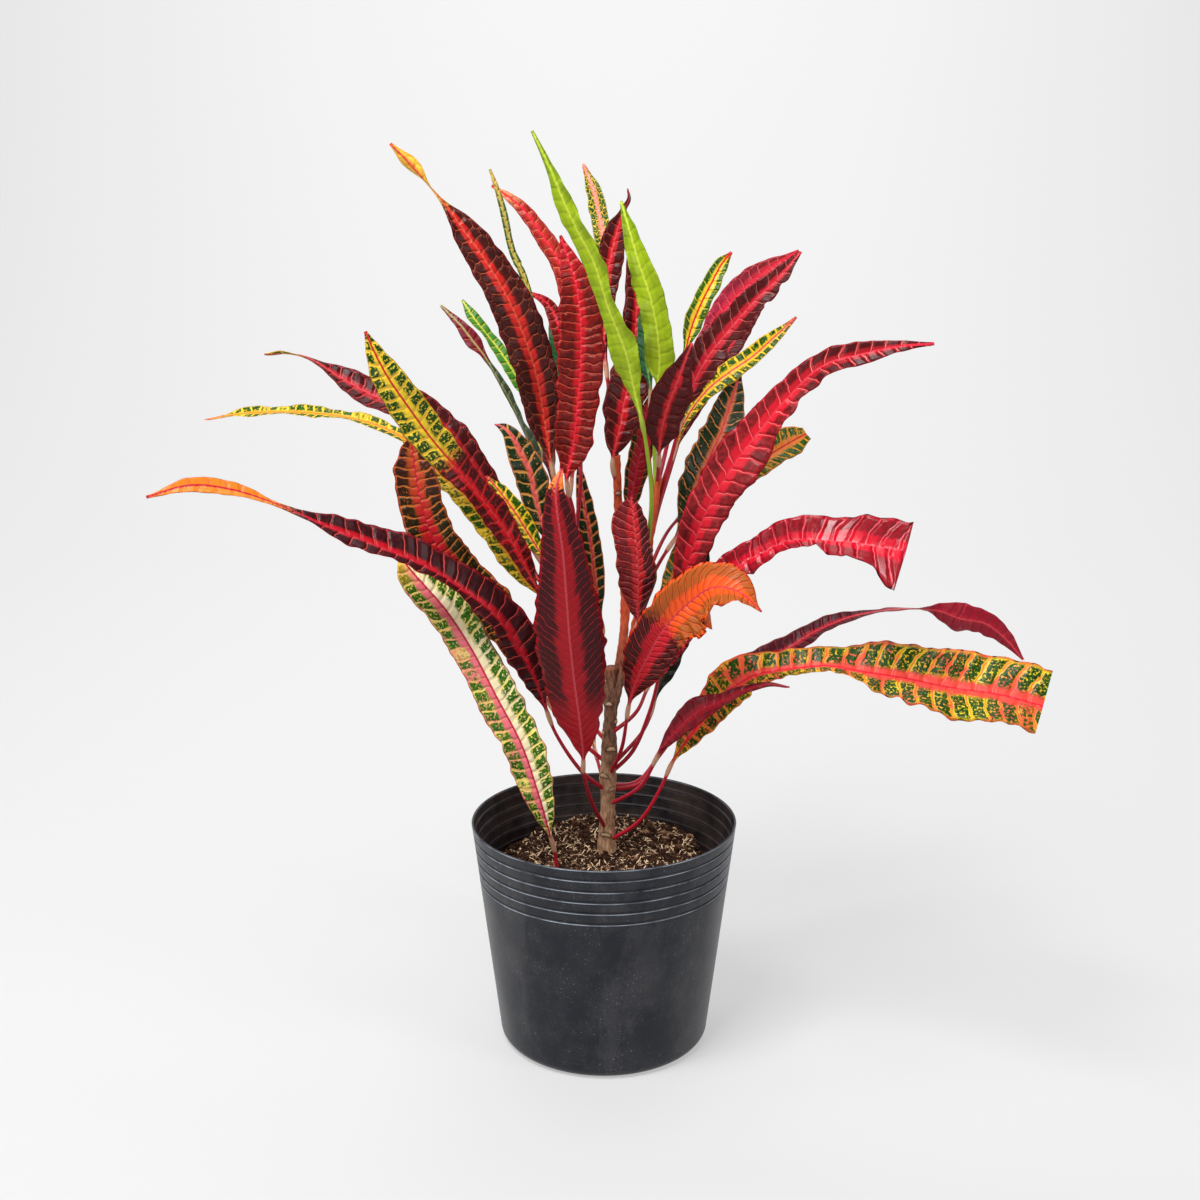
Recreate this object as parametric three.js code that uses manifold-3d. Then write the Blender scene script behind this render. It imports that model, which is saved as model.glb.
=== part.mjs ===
// A croton in a thin black nursery pot, with every leaf where it grows.
// Millimetres, +Z up, front towards -Y. The origin is the centre of the pot's flat base.
import * as THREE from "three";
import { mergeVertices } from "three/addons/utils/BufferGeometryUtils.js";
import Module from "manifold-3d";

// Pot: a nursery pot of 200 mm across the rim
const POT_RIM_R = 100;
const POT_BASE_R = 74;
const POT_H = 174;
const POT_WALL = 1.5;
const POT_EDGE_R = 9;
const POT_EDGE_STEPS = 3;
const RIM_ROUND = 0.8;
const POT_SIDES = 44;
const RIB_TOP = 166;
const RIB_STEP = 8.7;
const RIB_COUNT = 5;
const RIB_RISE = 0.9;
const RIB_HALF = 1.4;
const DRAIN_HOLES = 6;
const DRAIN_SIDES = 10;
const DRAIN_R = 5;
const DRAIN_CIRCLE_R = 52;

// Soil: a root ball that stands a little above the looser mix along the wall
const SOIL_TOP = 148;
const BALL_R = 67;
const BALL_STEP = 20;
const SOIL_LUMP = 1.6;
const BALL_RINGS = 6;
const BALL_SLOPE = 3;
const MIX_SHELF = 10;
const SOIL_SIDES = POT_SIDES;
const SEAT_GAP = 0.3;

// Stems: points up the middle of each, with the radius there
const STEM_SIDES = 9;
const TRUNK_FOOT = 60;
const TRUNK = [
  [2, 0, TRUNK_FOOT, 5], [2, 0, 120, 7], [2, 0, 140, 7.6], [2, 0, 156, 6.6], [3, 0, 180, 5.6],
  [3, 0, 196, 5.5], [3, 0, 206, 6.6], [3, 0, 216, 5.4], [4, 0, 225, 6.3], [4, 0, 240, 5.2],
  [5, 0, 258, 4.8], [5, 0, 272, 5.6], [5, 0, 284, 5.0], [5, 0, 293, 5.4],
];
const SHOOTS = [
  [[4, 0, 257, 3], [-1, 3, 280, 3.4], [-6, 6, 305, 3.2], [-11, 9, 332, 3.1], [-16, 11, 360, 2.9],
    [-21, 13, 389, 2.6]],
  [[5, 1, 262, 3], [10, 5, 285, 3.4], [15, 11, 320, 3.2], [15, 12, 352, 3.3], [12, 12, 386, 3.0],
    [10, 11, 418, 3.0], [9, 9, 449, 2.6]],
  [[5, -1, 250, 2.6], [12, -4, 282, 2.8], [23, -8, 329, 2.7], [29, -10, 365, 2.7], [34, -11, 398, 2.4],
    [37, -12, 424, 2.5], [39, -12, 438, 2.2]],
];

// Leaves: thickness, petiole, fold and wave of a blade
const BLADE_THICK = 0.7;
const MIDRIB_HALF = 1;
const PETIOLE_R = 1.7;
const BLADE_STEP = 14;
const PETIOLE_STEP = 26;
const FOLD_DEG = 16;
const WAVE_HEIGHT = 2;
const WAVE_LENGTH = 52;
const WAVE_SHIFT = 0.9;
const HEX_WIDE = 0.87;
const TIP_HALF = 0.8;
const BLADE_FROM = 1;
const BLADE_FULL = 6;
const WAVE_FULL = 12;
const TOWARDS_FRONT = new THREE.Vector3(0, -1, 0.25).normalize();

// Every leaf: points along its midrib from the stem to the tip, each with the blade's half
// width (0 on the petiole) and its turn about the midrib. At 0 degrees the upper face looks
// to the front, and at 180 the underside does. A sixth value, where there is one, is how far
// the midrib lies off the middle, as a share of the half width.
const LEAVES = [
  {
    name: "leaf_tall_maroon_left",
    kind: "maroon_tip",
    points: [
      [-16, 11, 358, 0, 0], [-31, -20, 418, 0, 0], [-37, -30, 450, 2, 0], [-42, -32, 483, 12, 5],
      [-47, -40, 514, 15, 5], [-61, -49, 556, 15, 5], [-76, -53, 584, 13, 8], [-94, -55, 610, 9, 10],
      [-109, -56, 630, 2, 60], [-125, -58, 649, 5, 150], [-139, -58, 663, 1, 170],
    ],
  },
  {
    name: "leaf_centre_red",
    kind: "red",
    points: [
      [-20, 12, 381, 0, 0], [-22, -27, 416, 0, 0], [-26, -43, 440, 2, 0], [-22, -44, 461, 12, 0],
      [-19, -50, 486, 14, 0], [-16, -55, 520, 16, 0], [-16, -58, 550, 15, 0], [-19, -59, 574, 11, 0],
      [-24, -58, 590, 6, 0], [-29, -57, 605, 1, 0],
    ],
  },
  {
    name: "leaf_narrow_red_behind",
    kind: "red_pale_tip",
    points: [
      [-21, 13, 388, 0, 0], [-17, 10, 431, 0, 0], [-19, 33, 486, 3, 0], [-22, 43, 536, 7, 0],
      [-31, 54, 580, 7, 0], [-43, 59, 600, 7, 0], [-59, 64, 621, 5, 0], [-71, 66, 631, 3, 0],
      [-82, 68, 638, 1, 0],
    ],
  },
  {
    name: "leaf_thin_yellow_left",
    kind: "lime_yellow",
    points: [
      [-19, 12, 375, 0, 0], [-35, 23, 421, 0, 0], [-43, 26, 516, 2, 10], [-57, 31, 572, 4, 30],
      [-66, 32, 593, 3, 30], [-71, 33, 617, 3, 30], [-76, 36, 635, 2, 20], [-81, 38, 649, 1, 0],
    ],
  },
  {
    name: "leaf_lime_left",
    kind: "lime",
    points: [
      [29, -10, 366, 0, 0], [33, -32, 424, 0, 0], [29, -50, 462, 0, 0], [25, -59, 484, 2, -20],
      [20, -65, 504, 5, -20], [14, -74, 530, 10, -20], [2, -83, 561, 6, -20], [-7, -90, 589, 7, -15],
      [-18, -95, 610, 6, -15], [-26, -98, 627, 6, -12], [-33, -101, 644, 3, -10], [-45, -105, 669, 1, -10],
    ],
  },
  {
    name: "leaf_top_variegated",
    kind: "yellow_green",
    points: [
      [9, 10, 440, 0, 0], [9, 48, 499, 0, 0], [6, 79, 555, 3, 0], [2, 94, 584, 7, 0],
      [-3, 111, 613, 7, 0], [-8, 122, 635, 6, 0], [-16, 132, 655, 1, 0],
    ],
  },
  {
    name: "leaf_top_maroon_curled",
    kind: "maroon",
    points: [
      [9, 9, 446, 0, 0], [4, 29, 487, 0, 0], [0, 40, 529, 4, 0], [1, 48, 564, 9, 0],
      [4, 53, 584, 10, 0], [9, 57, 605, 9, 0], [14, 60, 621, 3, 40], [18, 61, 629, 3, 60],
      [17, 61, 636, 1, 60],
    ],
  },
  {
    name: "leaf_lime_right",
    kind: "lime",
    points: [
      [37, -12, 425, 0, 0], [36, -3, 455, 0, 0], [37, -22, 503, 2, 0], [38, -25, 519, 10, 0],
      [36, -29, 541, 10, 0], [31, -31, 564, 10, 0], [23, -31, 587, 8, 0], [17, -31, 607, 5, 0],
      [11, -29, 627, 1, 0],
    ],
  },
  {
    name: "leaf_centre_maroon_right",
    kind: "maroon",
    points: [
      [10, 11, 424, 0, 0], [6, 7, 443, 0, 0], [7, 8, 451, 4, 0], [9, 8, 460, 9, 0],
      [12, 10, 472, 13, 0], [14, 13, 485, 15, 0], [19, 17, 504, 15, 0], [22, 20, 531, 12, 0],
      [23, 23, 555, 9, 0], [21, 26, 579, 6, 0], [18, 30, 606, 1, 0],
    ],
  },
  {
    name: "leaf_dull_green_strip",
    kind: "dark_green",
    points: [
      [36, -12, 414, 0, 0], [32, 8, 453, 0, 0], [33, 8, 495, 2, 0], [30, 9, 517, 6, 0],
      [29, 13, 538, 6, 0], [30, 16, 559, 4, 0], [27, 18, 571, 1, 0],
    ],
  },
  {
    name: "leaf_short_maroon_front",
    kind: "maroon",
    points: [
      [38, -12, 434, 0, 0], [38, -26, 447, 0, 0], [38, -38, 460, 3, 0], [39, -48, 475, 11, 0],
      [43, -59, 494, 13, 0], [47, -67, 506, 13, 0], [52, -75, 522, 7, 0], [57, -82, 537, 1, 0],
    ],
  },
  {
    name: "leaf_thin_variegated_right",
    kind: "yellow_green",
    points: [
      [39, -12, 436, 0, 0], [46, 18, 457, 0, 0], [59, 32, 522, 3, 0], [64, 37, 540, 7, 0],
      [71, 43, 556, 7, 0], [78, 48, 569, 7, 0], [86, 54, 583, 5, 0], [93, 58, 591, 1, 0],
    ],
  },
  {
    name: "leaf_big_maroon_right",
    kind: "maroon_mid_red",
    points: [
      [35, -11, 404, 0, 0], [46, -7, 444, 0, 0], [57, -2, 485, 3, -15], [63, -1, 501, 10, -15],
      [73, 0, 520, 13, -15], [87, 0, 538, 13, -15], [105, -1, 559, 10, -15], [122, -3, 576, 7, -15],
      [136, -4, 593, 1, -15],
    ],
  },
  {
    name: "leaf_pink_red_right",
    kind: "red",
    points: [
      [32, -11, 384, 0, 0], [40, 19, 409, 0, 0], [49, 40, 433, 0, 0], [58, 54, 461, 0, 0],
      [69, 71, 504, 5, 0], [84, 83, 537, 9, 0], [100, 91, 558, 11, 0], [119, 95, 574, 9, 0],
      [147, 100, 591, 1, 0],
    ],
  },
  {
    name: "leaf_yellow_right",
    kind: "yellow_green",
    points: [
      [33, -11, 394, 0, 0], [46, 12, 434, 0, 0], [58, 28, 469, 4, -20], [75, 37, 492, 8, -20],
      [92, 43, 505, 9, -20], [109, 48, 516, 8, -20], [127, 55, 531, 5, -20], [142, 61, 544, 1, -20],
    ],
  },
  {
    name: "leaf_dark_green_right",
    kind: "dark_green_pink",
    points: [
      [26, -9, 348, 0, 0], [44, 22, 372, 0, 0], [57, 36, 389, 4, 0], [68, 52, 412, 14, 0],
      [77, 65, 432, 16, 0], [90, 82, 457, 15, 0], [99, 99, 480, 10, 0], [106, 112, 500, 1, 0],
    ],
  },
  {
    name: "leaf_orange_right_behind",
    kind: "yellow_orange",
    points: [
      [23, -8, 328, 0, 0], [38, 16, 315, 0, 0], [44, 23, 327, 4, 0], [50, 33, 347, 8, 0],
      [64, 50, 374, 10, 0], [86, 66, 401, 10, -10], [107, 83, 424, 12, -12], [127, 96, 435, 13, -15],
      [145, 106, 444, 13, -15], [159, 114, 450, 6, -15],
    ],
  },
  {
    name: "leaf_big_red_right",
    kind: "red_yellow_tip",
    points: [
      [3, 0, 208, 0, 0], [21, 7, 224, 0, 0], [34, 1, 258, 0, 0], [42, -13, 298, 0, 0],
      [53, -24, 347, 3, 0], [61, -34, 385, 12, -10], [71, -44, 418, 15, -10], [87, -53, 450, 16, -15],
      [102, -58, 472, 15, -20], [123, -66, 500, 11, -20], [144, -73, 521, 10, -20], [171, -80, 530, 8, -15],
      [193, -84, 535, 4, -10], [214, -88, 537, 1, 0],
    ],
  },
  {
    name: "leaf_right_arching_red",
    kind: "red_blunt",
    points: [
      [4, 0, 240, 0, 0], [24, -14, 263, 0, 0], [33, -20, 286, 1, 0], [49, -30, 316, 9, -15],
      [67, -44, 350, 9, -15], [80, -52, 373, 9, -20, 0.2], [95, -60, 386, 11, -20, 0.1], [108, -68, 394, 13, -20],
      [122, -74, 405, 12, -20, 0.2], [136, -80, 411, 11, -20, 0.55], [152, -86, 411, 12, -20, 0.5], [164, -92, 406, 18, -20, 0.1],
      [181, -98, 404, 17, -20, 0.1], [198, -104, 398, 20, -20],
    ],
  },
  {
    name: "leaf_front_right_orange",
    kind: "maroon_orange",
    points: [
      [3, 0, 206, 0, 0], [13, -18, 236, 0, 0], [18, -34, 275, 2, 0], [23, -44, 296, 10, 0],
      [31, -56, 318, 18, 0], [42, -68, 341, 19, -5], [58, -80, 362, 19, -15], [73, -92, 375, 19, -25],
      [88, -102, 375, 13, -40], [104, -110, 363, 1, -50],
    ],
  },
  {
    name: "leaf_dark_behind_right",
    kind: "dark_green_pink",
    points: [
      [3, 0, 212, 0, 0], [31, 17, 240, 0, 0], [40, 24, 265, 3, 0], [49, 33, 285, 8, 0],
      [58, 49, 312, 11, 0], [67, 67, 339, 12, 0], [75, 86, 367, 8, 0], [80, 102, 388, 1, 0],
    ],
  },
  {
    name: "leaf_low_right_underside",
    kind: "red_underside",
    points: [
      [3, 0, 184, 0, 0], [27, -18, 206, 0, 0], [37, -30, 230, 1, -30], [41, -36, 241, 3, -30],
      [54, -48, 262, 8, -30], [67, -60, 278, 10, -35], [82, -72, 289, 7, -40], [97, -82, 300, 4, -50],
      [113, -88, 306, 3, -60], [126, -94, 306, 1, -60],
    ],
  },
  {
    name: "leaf_low_right_yellow",
    kind: "yellow_big",
    points: [
      [2, 0, 154, 0, 0], [27, -15, 178, 0, 0], [42, -23, 207, 0, 0], [50, -29, 229, 2, -20],
      [64, -36, 254, 9, -20], [78, -42, 275, 14, -25, -0.1], [93, -49, 295, 17, -30, 0.1], [104, -53, 305, 14, -35, 0.3],
      [137, -62, 314, 10, -40, 0.5], [157, -67, 317, 12, -40, 0.45], [177, -73, 315, 17, -35, 0.3], [203, -81, 311, 23, -30, 0.1],
      [236, -92, 305, 27, -30], [267, -102, 303, 27, -30], [294, -112, 298, 25, -30],
    ],
  },
  {
    name: "leaf_low_right_maroon",
    kind: "maroon_red_tip",
    points: [
      [3, 0, 196, 0, 0], [27, 5, 200, 0, 0], [41, 12, 218, 0, 0], [62, 20, 243, 0, 0],
      [82, 29, 261, 3, -20], [108, 38, 281, 10, -30], [139, 46, 293, 10, -40], [162, 51, 306, 10, -45],
      [189, 56, 316, 6, -55], [215, 61, 320, 4, -70], [242, 65, 321, 2, -90], [259, 67, 319, 6, -150],
      [277, 69, 312, 12, -160], [298, 72, 307, 10, -160], [316, 75, 293, 6, -160], [331, 78, 276, 1, -160],
    ],
  },
  {
    name: "leaf_long_left",
    kind: "maroon_orange_tip",
    points: [
      [3, 0, 195, 0, 0], [-16, -15, 216, 0, 0], [-35, -25, 249, 0, 0], [-43, -33, 274, 3, 15],
      [-54, -45, 310, 13, 20, -0.1], [-73, -58, 349, 14, 25, -0.25], [-96, -68, 372, 12, 30, -0.35], [-121, -79, 391, 12, 35, -0.35],
      [-154, -91, 406, 13, 40, -0.15], [-181, -101, 418, 9, 45], [-212, -112, 435, 3, 60], [-240, -122, 447, 6, 30],
      [-264, -130, 451, 5, 20], [-290, -138, 445, 1, 10],
    ],
  },
  {
    name: "leaf_front_centre",
    kind: "maroon_front",
    points: [
      [2, 0, 164, 0, 180], [-9, -22, 195, 0, 180], [-15, -39, 225, 0, 180], [-15, -46, 239, 3, 180],
      [-17, -59, 267, 16, 180], [-21, -70, 304, 23, 180], [-24, -80, 339, 25, 180], [-26, -88, 373, 20, 180],
      [-28, -94, 402, 15, 180], [-31, -98, 426, 10, 180], [-32, -98, 443, 6, 180], [-28, -91, 456, 1, 180],
    ],
  },
  {
    name: "leaf_low_left_variegated",
    kind: "pink_yellow",
    points: [
      [-34, -40, 136, 0, 0], [-36, -40, 162, 0, 0], [-40, -44, 180, 3, 10], [-48, -50, 214, 12, 10],
      [-59, -54, 251, 15, 15], [-76, -56, 287, 16, 15], [-93, -56, 322, 15, 15], [-110, -54, 349, 16, 20],
      [-125, -50, 366, 15, 20], [-135, -48, 377, 13, 20], [-140, -47, 384, 6, 20], [-143, -46, 388, 1, 20],
    ],
  },
  {
    name: "leaf_left_brown_variegated",
    kind: "brown_orange",
    points: [
      [3, 0, 217, 0, 0], [-22, 2, 239, 0, 0], [-45, -5, 273, 3, 0], [-58, -10, 303, 11, 5],
      [-75, -15, 334, 16, 10], [-100, -21, 364, 17, 10], [-119, -24, 390, 17, 5], [-128, -25, 416, 16, 0],
      [-132, -24, 438, 16, 0], [-134, -23, 458, 10, 0], [-134, -22, 469, 1, 0],
    ],
  },
  {
    name: "leaf_left_yellow_crimson",
    kind: "yellow_to_crimson",
    points: [
      [-5, 5, 300, 0, 0], [-32, -25, 339, 0, 0], [-47, -39, 361, 3, 30], [-59, -50, 388, 8, 30],
      [-72, -58, 413, 11, 30], [-88, -67, 437, 10, 25], [-102, -76, 457, 11, 10], [-115, -83, 475, 13, 0],
      [-128, -91, 496, 13, 0], [-140, -97, 516, 11, 0], [-148, -100, 533, 6, 0], [-153, -102, 546, 1, 0],
    ],
  },
  {
    name: "leaf_left_upper_maroon",
    kind: "maroon_yellow_tip",
    points: [
      [-9, 8, 320, 0, 0], [-32, -1, 352, 0, 0], [-54, -5, 386, 3, 10], [-75, -6, 417, 9, 15],
      [-92, -5, 441, 11, 15], [-110, -4, 465, 13, 15], [-131, -1, 482, 13, 20], [-160, 2, 491, 14, 30],
      [-188, 8, 505, 9, 40], [-212, 11, 519, 2, 60], [-227, 11, 522, 4, 100], [-242, 12, 521, 1, 120],
    ],
  },
  {
    name: "leaf_left_green_strip",
    kind: "yellow_green",
    points: [
      [-10, 8, 326, 0, 0], [-26, 2, 355, 0, 0], [-42, -20, 378, 2, 20], [-52, -24, 395, 7, 20],
      [-62, -26, 412, 8, 20], [-73, -26, 428, 6, 20], [-83, -26, 440, 1, 20],
    ],
  },
  {
    name: "leaf_long_yellow_left",
    kind: "yellow_green",
    points: [
      [-3, 4, 288, 0, 0], [-31, 15, 336, 0, 0], [-52, 16, 348, 3, 10], [-66, 17, 369, 10, 10],
      [-81, 23, 393, 13, 12], [-99, 29, 413, 12, 20], [-117, 37, 429, 13, 25], [-138, 47, 448, 10, 40],
      [-164, 56, 462, 7, 50], [-195, 66, 469, 8, 55], [-231, 78, 471, 8, 55], [-272, 90, 469, 7, 55],
      [-309, 100, 463, 1, 60],
    ],
  },
  {
    name: "leaf_edge_on_left",
    kind: "grey_green",
    points: [
      [-14, 10, 350, 0, 0], [-34, 15, 400, 0, 70], [-45, 18, 430, 3, 75], [-54, 25, 454, 9, 75],
      [-65, 33, 477, 9, 75], [-78, 41, 500, 6, 70], [-88, 50, 516, 3, 40], [-96, 54, 526, 6, 10],
      [-106, 60, 538, 4, 10], [-121, 68, 552, 1, 10],
    ],
  },
  {
    name: "leaf_small_green_left",
    kind: "yellow_green",
    points: [
      [-12, 10, 340, 0, 0], [-43, 40, 407, 0, 0], [-52, 64, 475, 4, 0], [-67, 73, 501, 6, 0],
      [-80, 82, 519, 5, 20], [-89, 89, 529, 5, 40], [-99, 96, 541, 5, 10], [-108, 104, 554, 1, 0],
    ],
  },
  {
    name: "leaf_red_arc_behind",
    kind: "red",
    points: [
      [-18, 12, 369, 0, 0], [-28, 40, 426, 0, 0], [-25, 61, 490, 4, 0], [-33, 78, 533, 7, 0],
      [-40, 85, 549, 5, 0], [-47, 87, 556, 3, 0], [-59, 90, 561, 1, 0],
    ],
  },
  {
    name: "leaf_green_sliver_behind",
    kind: "dark_green",
    points: [
      [-17, 11, 363, 0, 0], [-32, 52, 420, 0, 0], [-29, 77, 473, 3, 0], [-34, 103, 509, 7, 0],
      [-37, 114, 531, 6, 0], [-39, 124, 550, 1, 0],
    ],
  },
  {
    name: "leaf_left_dark_variegated",
    kind: "dark_green_pink",
    points: [
      [-12, 9, 336, 0, 0], [-30, 5, 365, 0, 0], [-41, 2, 388, 3, 0], [-48, 2, 412, 9, 0],
      [-53, 4, 436, 12, 0], [-61, 7, 453, 10, 0], [-67, 9, 464, 6, 0], [-73, 12, 469, 4, 30],
      [-79, 14, 471, 1, 60],
    ],
  },
  {
    name: "leaf_centre_dark_green",
    kind: "dark_green_salmon",
    points: [
      [-6, 6, 306, 0, 0], [-1, 24, 313, 0, 0], [-4, 30, 330, 4, 0], [-7, 36, 352, 8, 0],
      [-10, 38, 379, 8, 0], [-14, 38, 405, 7, 0], [-17, 38, 425, 4, 0], [-19, 38, 440, 1, 0],
    ],
  },
  {
    name: "leaf_glossy_maroon_centre",
    kind: "maroon",
    points: [
      [20, -7, 318, 0, 0], [24, -14, 328, 0, 0], [24, -18, 341, 6, 10], [23, -24, 365, 14, 10, 0.1],
      [20, -28, 387, 14, 10, 0.25], [17, -30, 409, 13, 10, 0.3], [18, -30, 419, 9, 10, 0.25], [19, -30, 426, 1, 10],
    ],
  },
  {
    name: "leaf_centre_red_rib",
    kind: "dark_green_pink",
    points: [
      [15, 12, 352, 0, 0], [16, 26, 377, 0, 0], [18, 30, 399, 2, 0], [21, 31, 418, 7, 0],
      [25, 32, 439, 9, 0], [29, 33, 458, 9, 0], [31, 34, 476, 6, 0], [34, 34, 490, 1, 0],
    ],
  },
  {
    name: "leaf_back_behind_tall",
    kind: "maroon",
    points: [
      [-11, 9, 330, 0, 0], [-36, 48, 379, 0, 0], [-39, 65, 422, 3, 0], [-49, 104, 458, 10, 0],
      [-64, 151, 512, 11, 0], [-78, 188, 549, 8, 0], [-89, 210, 571, 1, 0],
    ],
  },
  {
    name: "leaf_back_behind_centre",
    kind: "dark_green_pink",
    points: [
      [-15, 10, 352, 0, 0], [-26, 54, 393, 0, 0], [-24, 78, 427, 3, 0], [-19, 95, 479, 10, 0],
      [-17, 126, 522, 11, 0], [-16, 148, 551, 7, 0], [-17, 160, 568, 1, 0],
    ],
  },
  {
    name: "leaf_back_behind_right",
    kind: "maroon_mid_red",
    points: [
      [29, -10, 366, 0, 0], [42, 43, 418, 0, 0], [55, 72, 447, 3, 0], [73, 88, 485, 9, 0],
      [97, 124, 518, 11, 0], [118, 152, 543, 7, 0], [132, 168, 558, 1, 0],
    ],
  },
  {
    name: "leaf_back_behind_big_red",
    kind: "red_yellow_tip",
    points: [
      [28, -10, 358, 0, 0], [48, 48, 385, 0, 0], [65, 79, 397, 3, 0], [85, 102, 414, 11, 0],
      [110, 143, 437, 12, 0], [135, 181, 460, 10, 0], [158, 212, 480, 1, 0],
    ],
  },
  {
    name: "leaf_back_low_right",
    kind: "yellow_big",
    points: [
      [3, 0, 200, 0, 0], [28, 37, 191, 0, 0], [51, 66, 212, 0, 0], [81, 97, 232, 4, 0],
      [118, 122, 249, 11, -10], [164, 150, 252, 10, -20], [218, 174, 246, 9, -20], [261, 192, 237, 1, -20],
    ],
  },
  {
    name: "leaf_back_low_left",
    kind: "maroon_orange",
    points: [
      [4, 0, 232, 0, 0], [-22, 42, 250, 0, 0], [-46, 74, 270, 3, 0], [-71, 106, 297, 10, 10],
      [-110, 141, 319, 11, 20], [-145, 167, 334, 8, 30], [-172, 186, 341, 1, 30],
    ],
  },
  {
    name: "leaf_back_left",
    kind: "yellow_to_crimson",
    points: [
      [-1, 3, 280, 0, 0], [-32, 41, 330, 0, 0], [-51, 65, 345, 3, 0], [-75, 99, 376, 10, 10],
      [-104, 132, 409, 11, 10], [-130, 159, 434, 7, 10], [-146, 176, 449, 1, 10],
    ],
  },
  {
    name: "leaf_back_low_centre",
    kind: "pink_yellow",
    points: [
      [3, 0, 190, 0, 0], [-3, 35, 200, 0, 0], [-8, 64, 210, 3, 0], [-16, 102, 235, 12, 0],
      [-24, 139, 267, 14, 0], [-28, 170, 298, 10, 0], [-32, 194, 322, 1, 0],
    ],
  },
];

const COLOURS = {
  lime: "#9fbe26",
  lime_yellow: "#b8b63a",
  yellow_green: "#b7a531",
  yellow_orange: "#c9782b",
  yellow_big: "#cfa52e",
  pink_yellow: "#d9a04a",
  brown_orange: "#a4492a",
  red: "#a5242c",
  red_pale_tip: "#b5382f",
  red_yellow_tip: "#a8252d",
  red_blunt: "#b3222f",
  red_underside: "#95222c",
  yellow_to_crimson: "#a33a2c",
  maroon: "#5c1c22",
  maroon_tip: "#5a1c20",
  maroon_front: "#5e1a22",
  maroon_mid_red: "#621c24",
  maroon_orange: "#8a2f22",
  maroon_orange_tip: "#6a2424",
  maroon_yellow_tip: "#7c2422",
  maroon_red_tip: "#8c1f2a",
  dark_green: "#3b5a22",
  dark_green_pink: "#3a3f22",
  dark_green_salmon: "#43501f",
  grey_green: "#6f7f45",
};

const wasm = await Module();
wasm.setup();

function toSolid(geometry) {
  const plain = geometry.clone();
  plain.deleteAttribute("normal");
  plain.deleteAttribute("uv");
  const merged = mergeVertices(plain, 1e-4);
  return new wasm.Manifold(new wasm.Mesh({
    numProp: 3,
    vertProperties: new Float32Array(merged.attributes.position.array),
    triVerts: new Uint32Array(merged.index.array),
  }));
}

function toGeometry(solid) {
  const mesh = solid.getMesh();
  const geometry = new THREE.BufferGeometry();
  geometry.setAttribute("position", new THREE.BufferAttribute(mesh.vertProperties, 3));
  geometry.setIndex(new THREE.BufferAttribute(mesh.triVerts, 1));
  geometry.computeVertexNormals();
  return geometry;
}

function largestPiece(solid) {
  const pieces = solid.decompose();
  pieces.sort((a, b) => b.volume() - a.volume());
  return pieces[0];
}

// Joins equal rings of points into one closed skin with flat ends
function loft(rings) {
  const count = rings[0].length;
  const positions = rings.flat().flatMap((p) => [p.x, p.y, p.z]);
  const index = [];
  for (let i = 0; i + 1 < rings.length; i++) {
    for (let k = 0; k < count; k++) {
      const a = i * count + k;
      const b = i * count + (k + 1) % count;
      // The lower half of a blade's ring runs back, so its diagonal is mirrored to lie
      // under the one above it
      if (k < count / 2) {
        index.push(a, b, b + count, a, b + count, a + count);
      } else {
        index.push(a, b, a + count, b, b + count, a + count);
      }
    }
  }
  const last = (rings.length - 1) * count;
  for (let k = 1; k + 1 < count; k++) {
    index.push(0, k + 1, k);
    index.push(last, last + k, last + k + 1);
  }
  const geometry = new THREE.BufferGeometry();
  geometry.setAttribute("position", new THREE.Float32BufferAttribute(positions, 3));
  geometry.setIndex(index);
  return geometry;
}

function curveThrough(points) {
  return new THREE.CatmullRomCurve3(points.map(([x, y, z]) => new THREE.Vector3(x, y, z)));
}

// A value given at each point of a curve, followed smoothly between them
function along(values, t) {
  const at = t * (values.length - 1);
  const i = Math.min(Math.floor(at), values.length - 2);
  const f = at - i;
  const before = values[Math.max(i - 1, 0)];
  const after = values[Math.min(i + 2, values.length - 1)];
  const slope0 = (values[i + 1] - before) / 2;
  const slope1 = (after - values[i]) / 2;
  const f2 = f * f;
  const f3 = f2 * f;
  return values[i] * (2 * f3 - 3 * f2 + 1) + slope0 * (f3 - 2 * f2 + f)
    + values[i + 1] * (3 * f2 - 2 * f3) + slope1 * (f3 - f2);
}

function stem(points, sides, grow = 0) {
  const curve = curveThrough(points);
  const radii = points.map((p) => p[3]);
  const steps = (points.length - 1) * 2;
  const rings = [];
  for (let i = 0; i <= steps; i++) {
    const t = i / steps;
    const centre = curve.getPoint(t);
    const forward = curve.getTangent(t);
    const side = new THREE.Vector3(1, 0, 0).addScaledVector(forward, -forward.x).normalize();
    const front = new THREE.Vector3().crossVectors(forward, side);
    const r = along(radii, t) + grow;
    const ring = [];
    for (let k = 0; k < sides; k++) {
      const a = (k / sides) * Math.PI * 2;
      ring.push(centre.clone().addScaledVector(side, Math.cos(a) * r)
        .addScaledVector(front, Math.sin(a) * r));
    }
    rings.push(ring);
  }
  return toSolid(loft(rings));
}

function stems(grow = 0) {
  let all = stem(TRUNK, STEM_SIDES, grow);
  for (const points of SHOOTS) {
    all = all.add(stem(points, STEM_SIDES - 2, grow));
  }
  return all;
}

// Places along a leaf where it has a ring: close on the blade, wide on the petiole
function leafStations(curve, widths) {
  const fine = 600;
  const list = [0];
  let run = 0;
  let last = curve.getPoint(0);
  for (let i = 1; i <= fine; i++) {
    const t = i / fine;
    const here = curve.getPoint(t);
    run += here.distanceTo(last) / (along(widths, t) < 2 ? PETIOLE_STEP : BLADE_STEP);
    last = here;
    if (run >= 1) {
      list.push(t);
      run = 0;
    }
  }
  if (run < 0.5) {
    list.pop();
  }
  list.push(1);
  return list;
}

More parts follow.
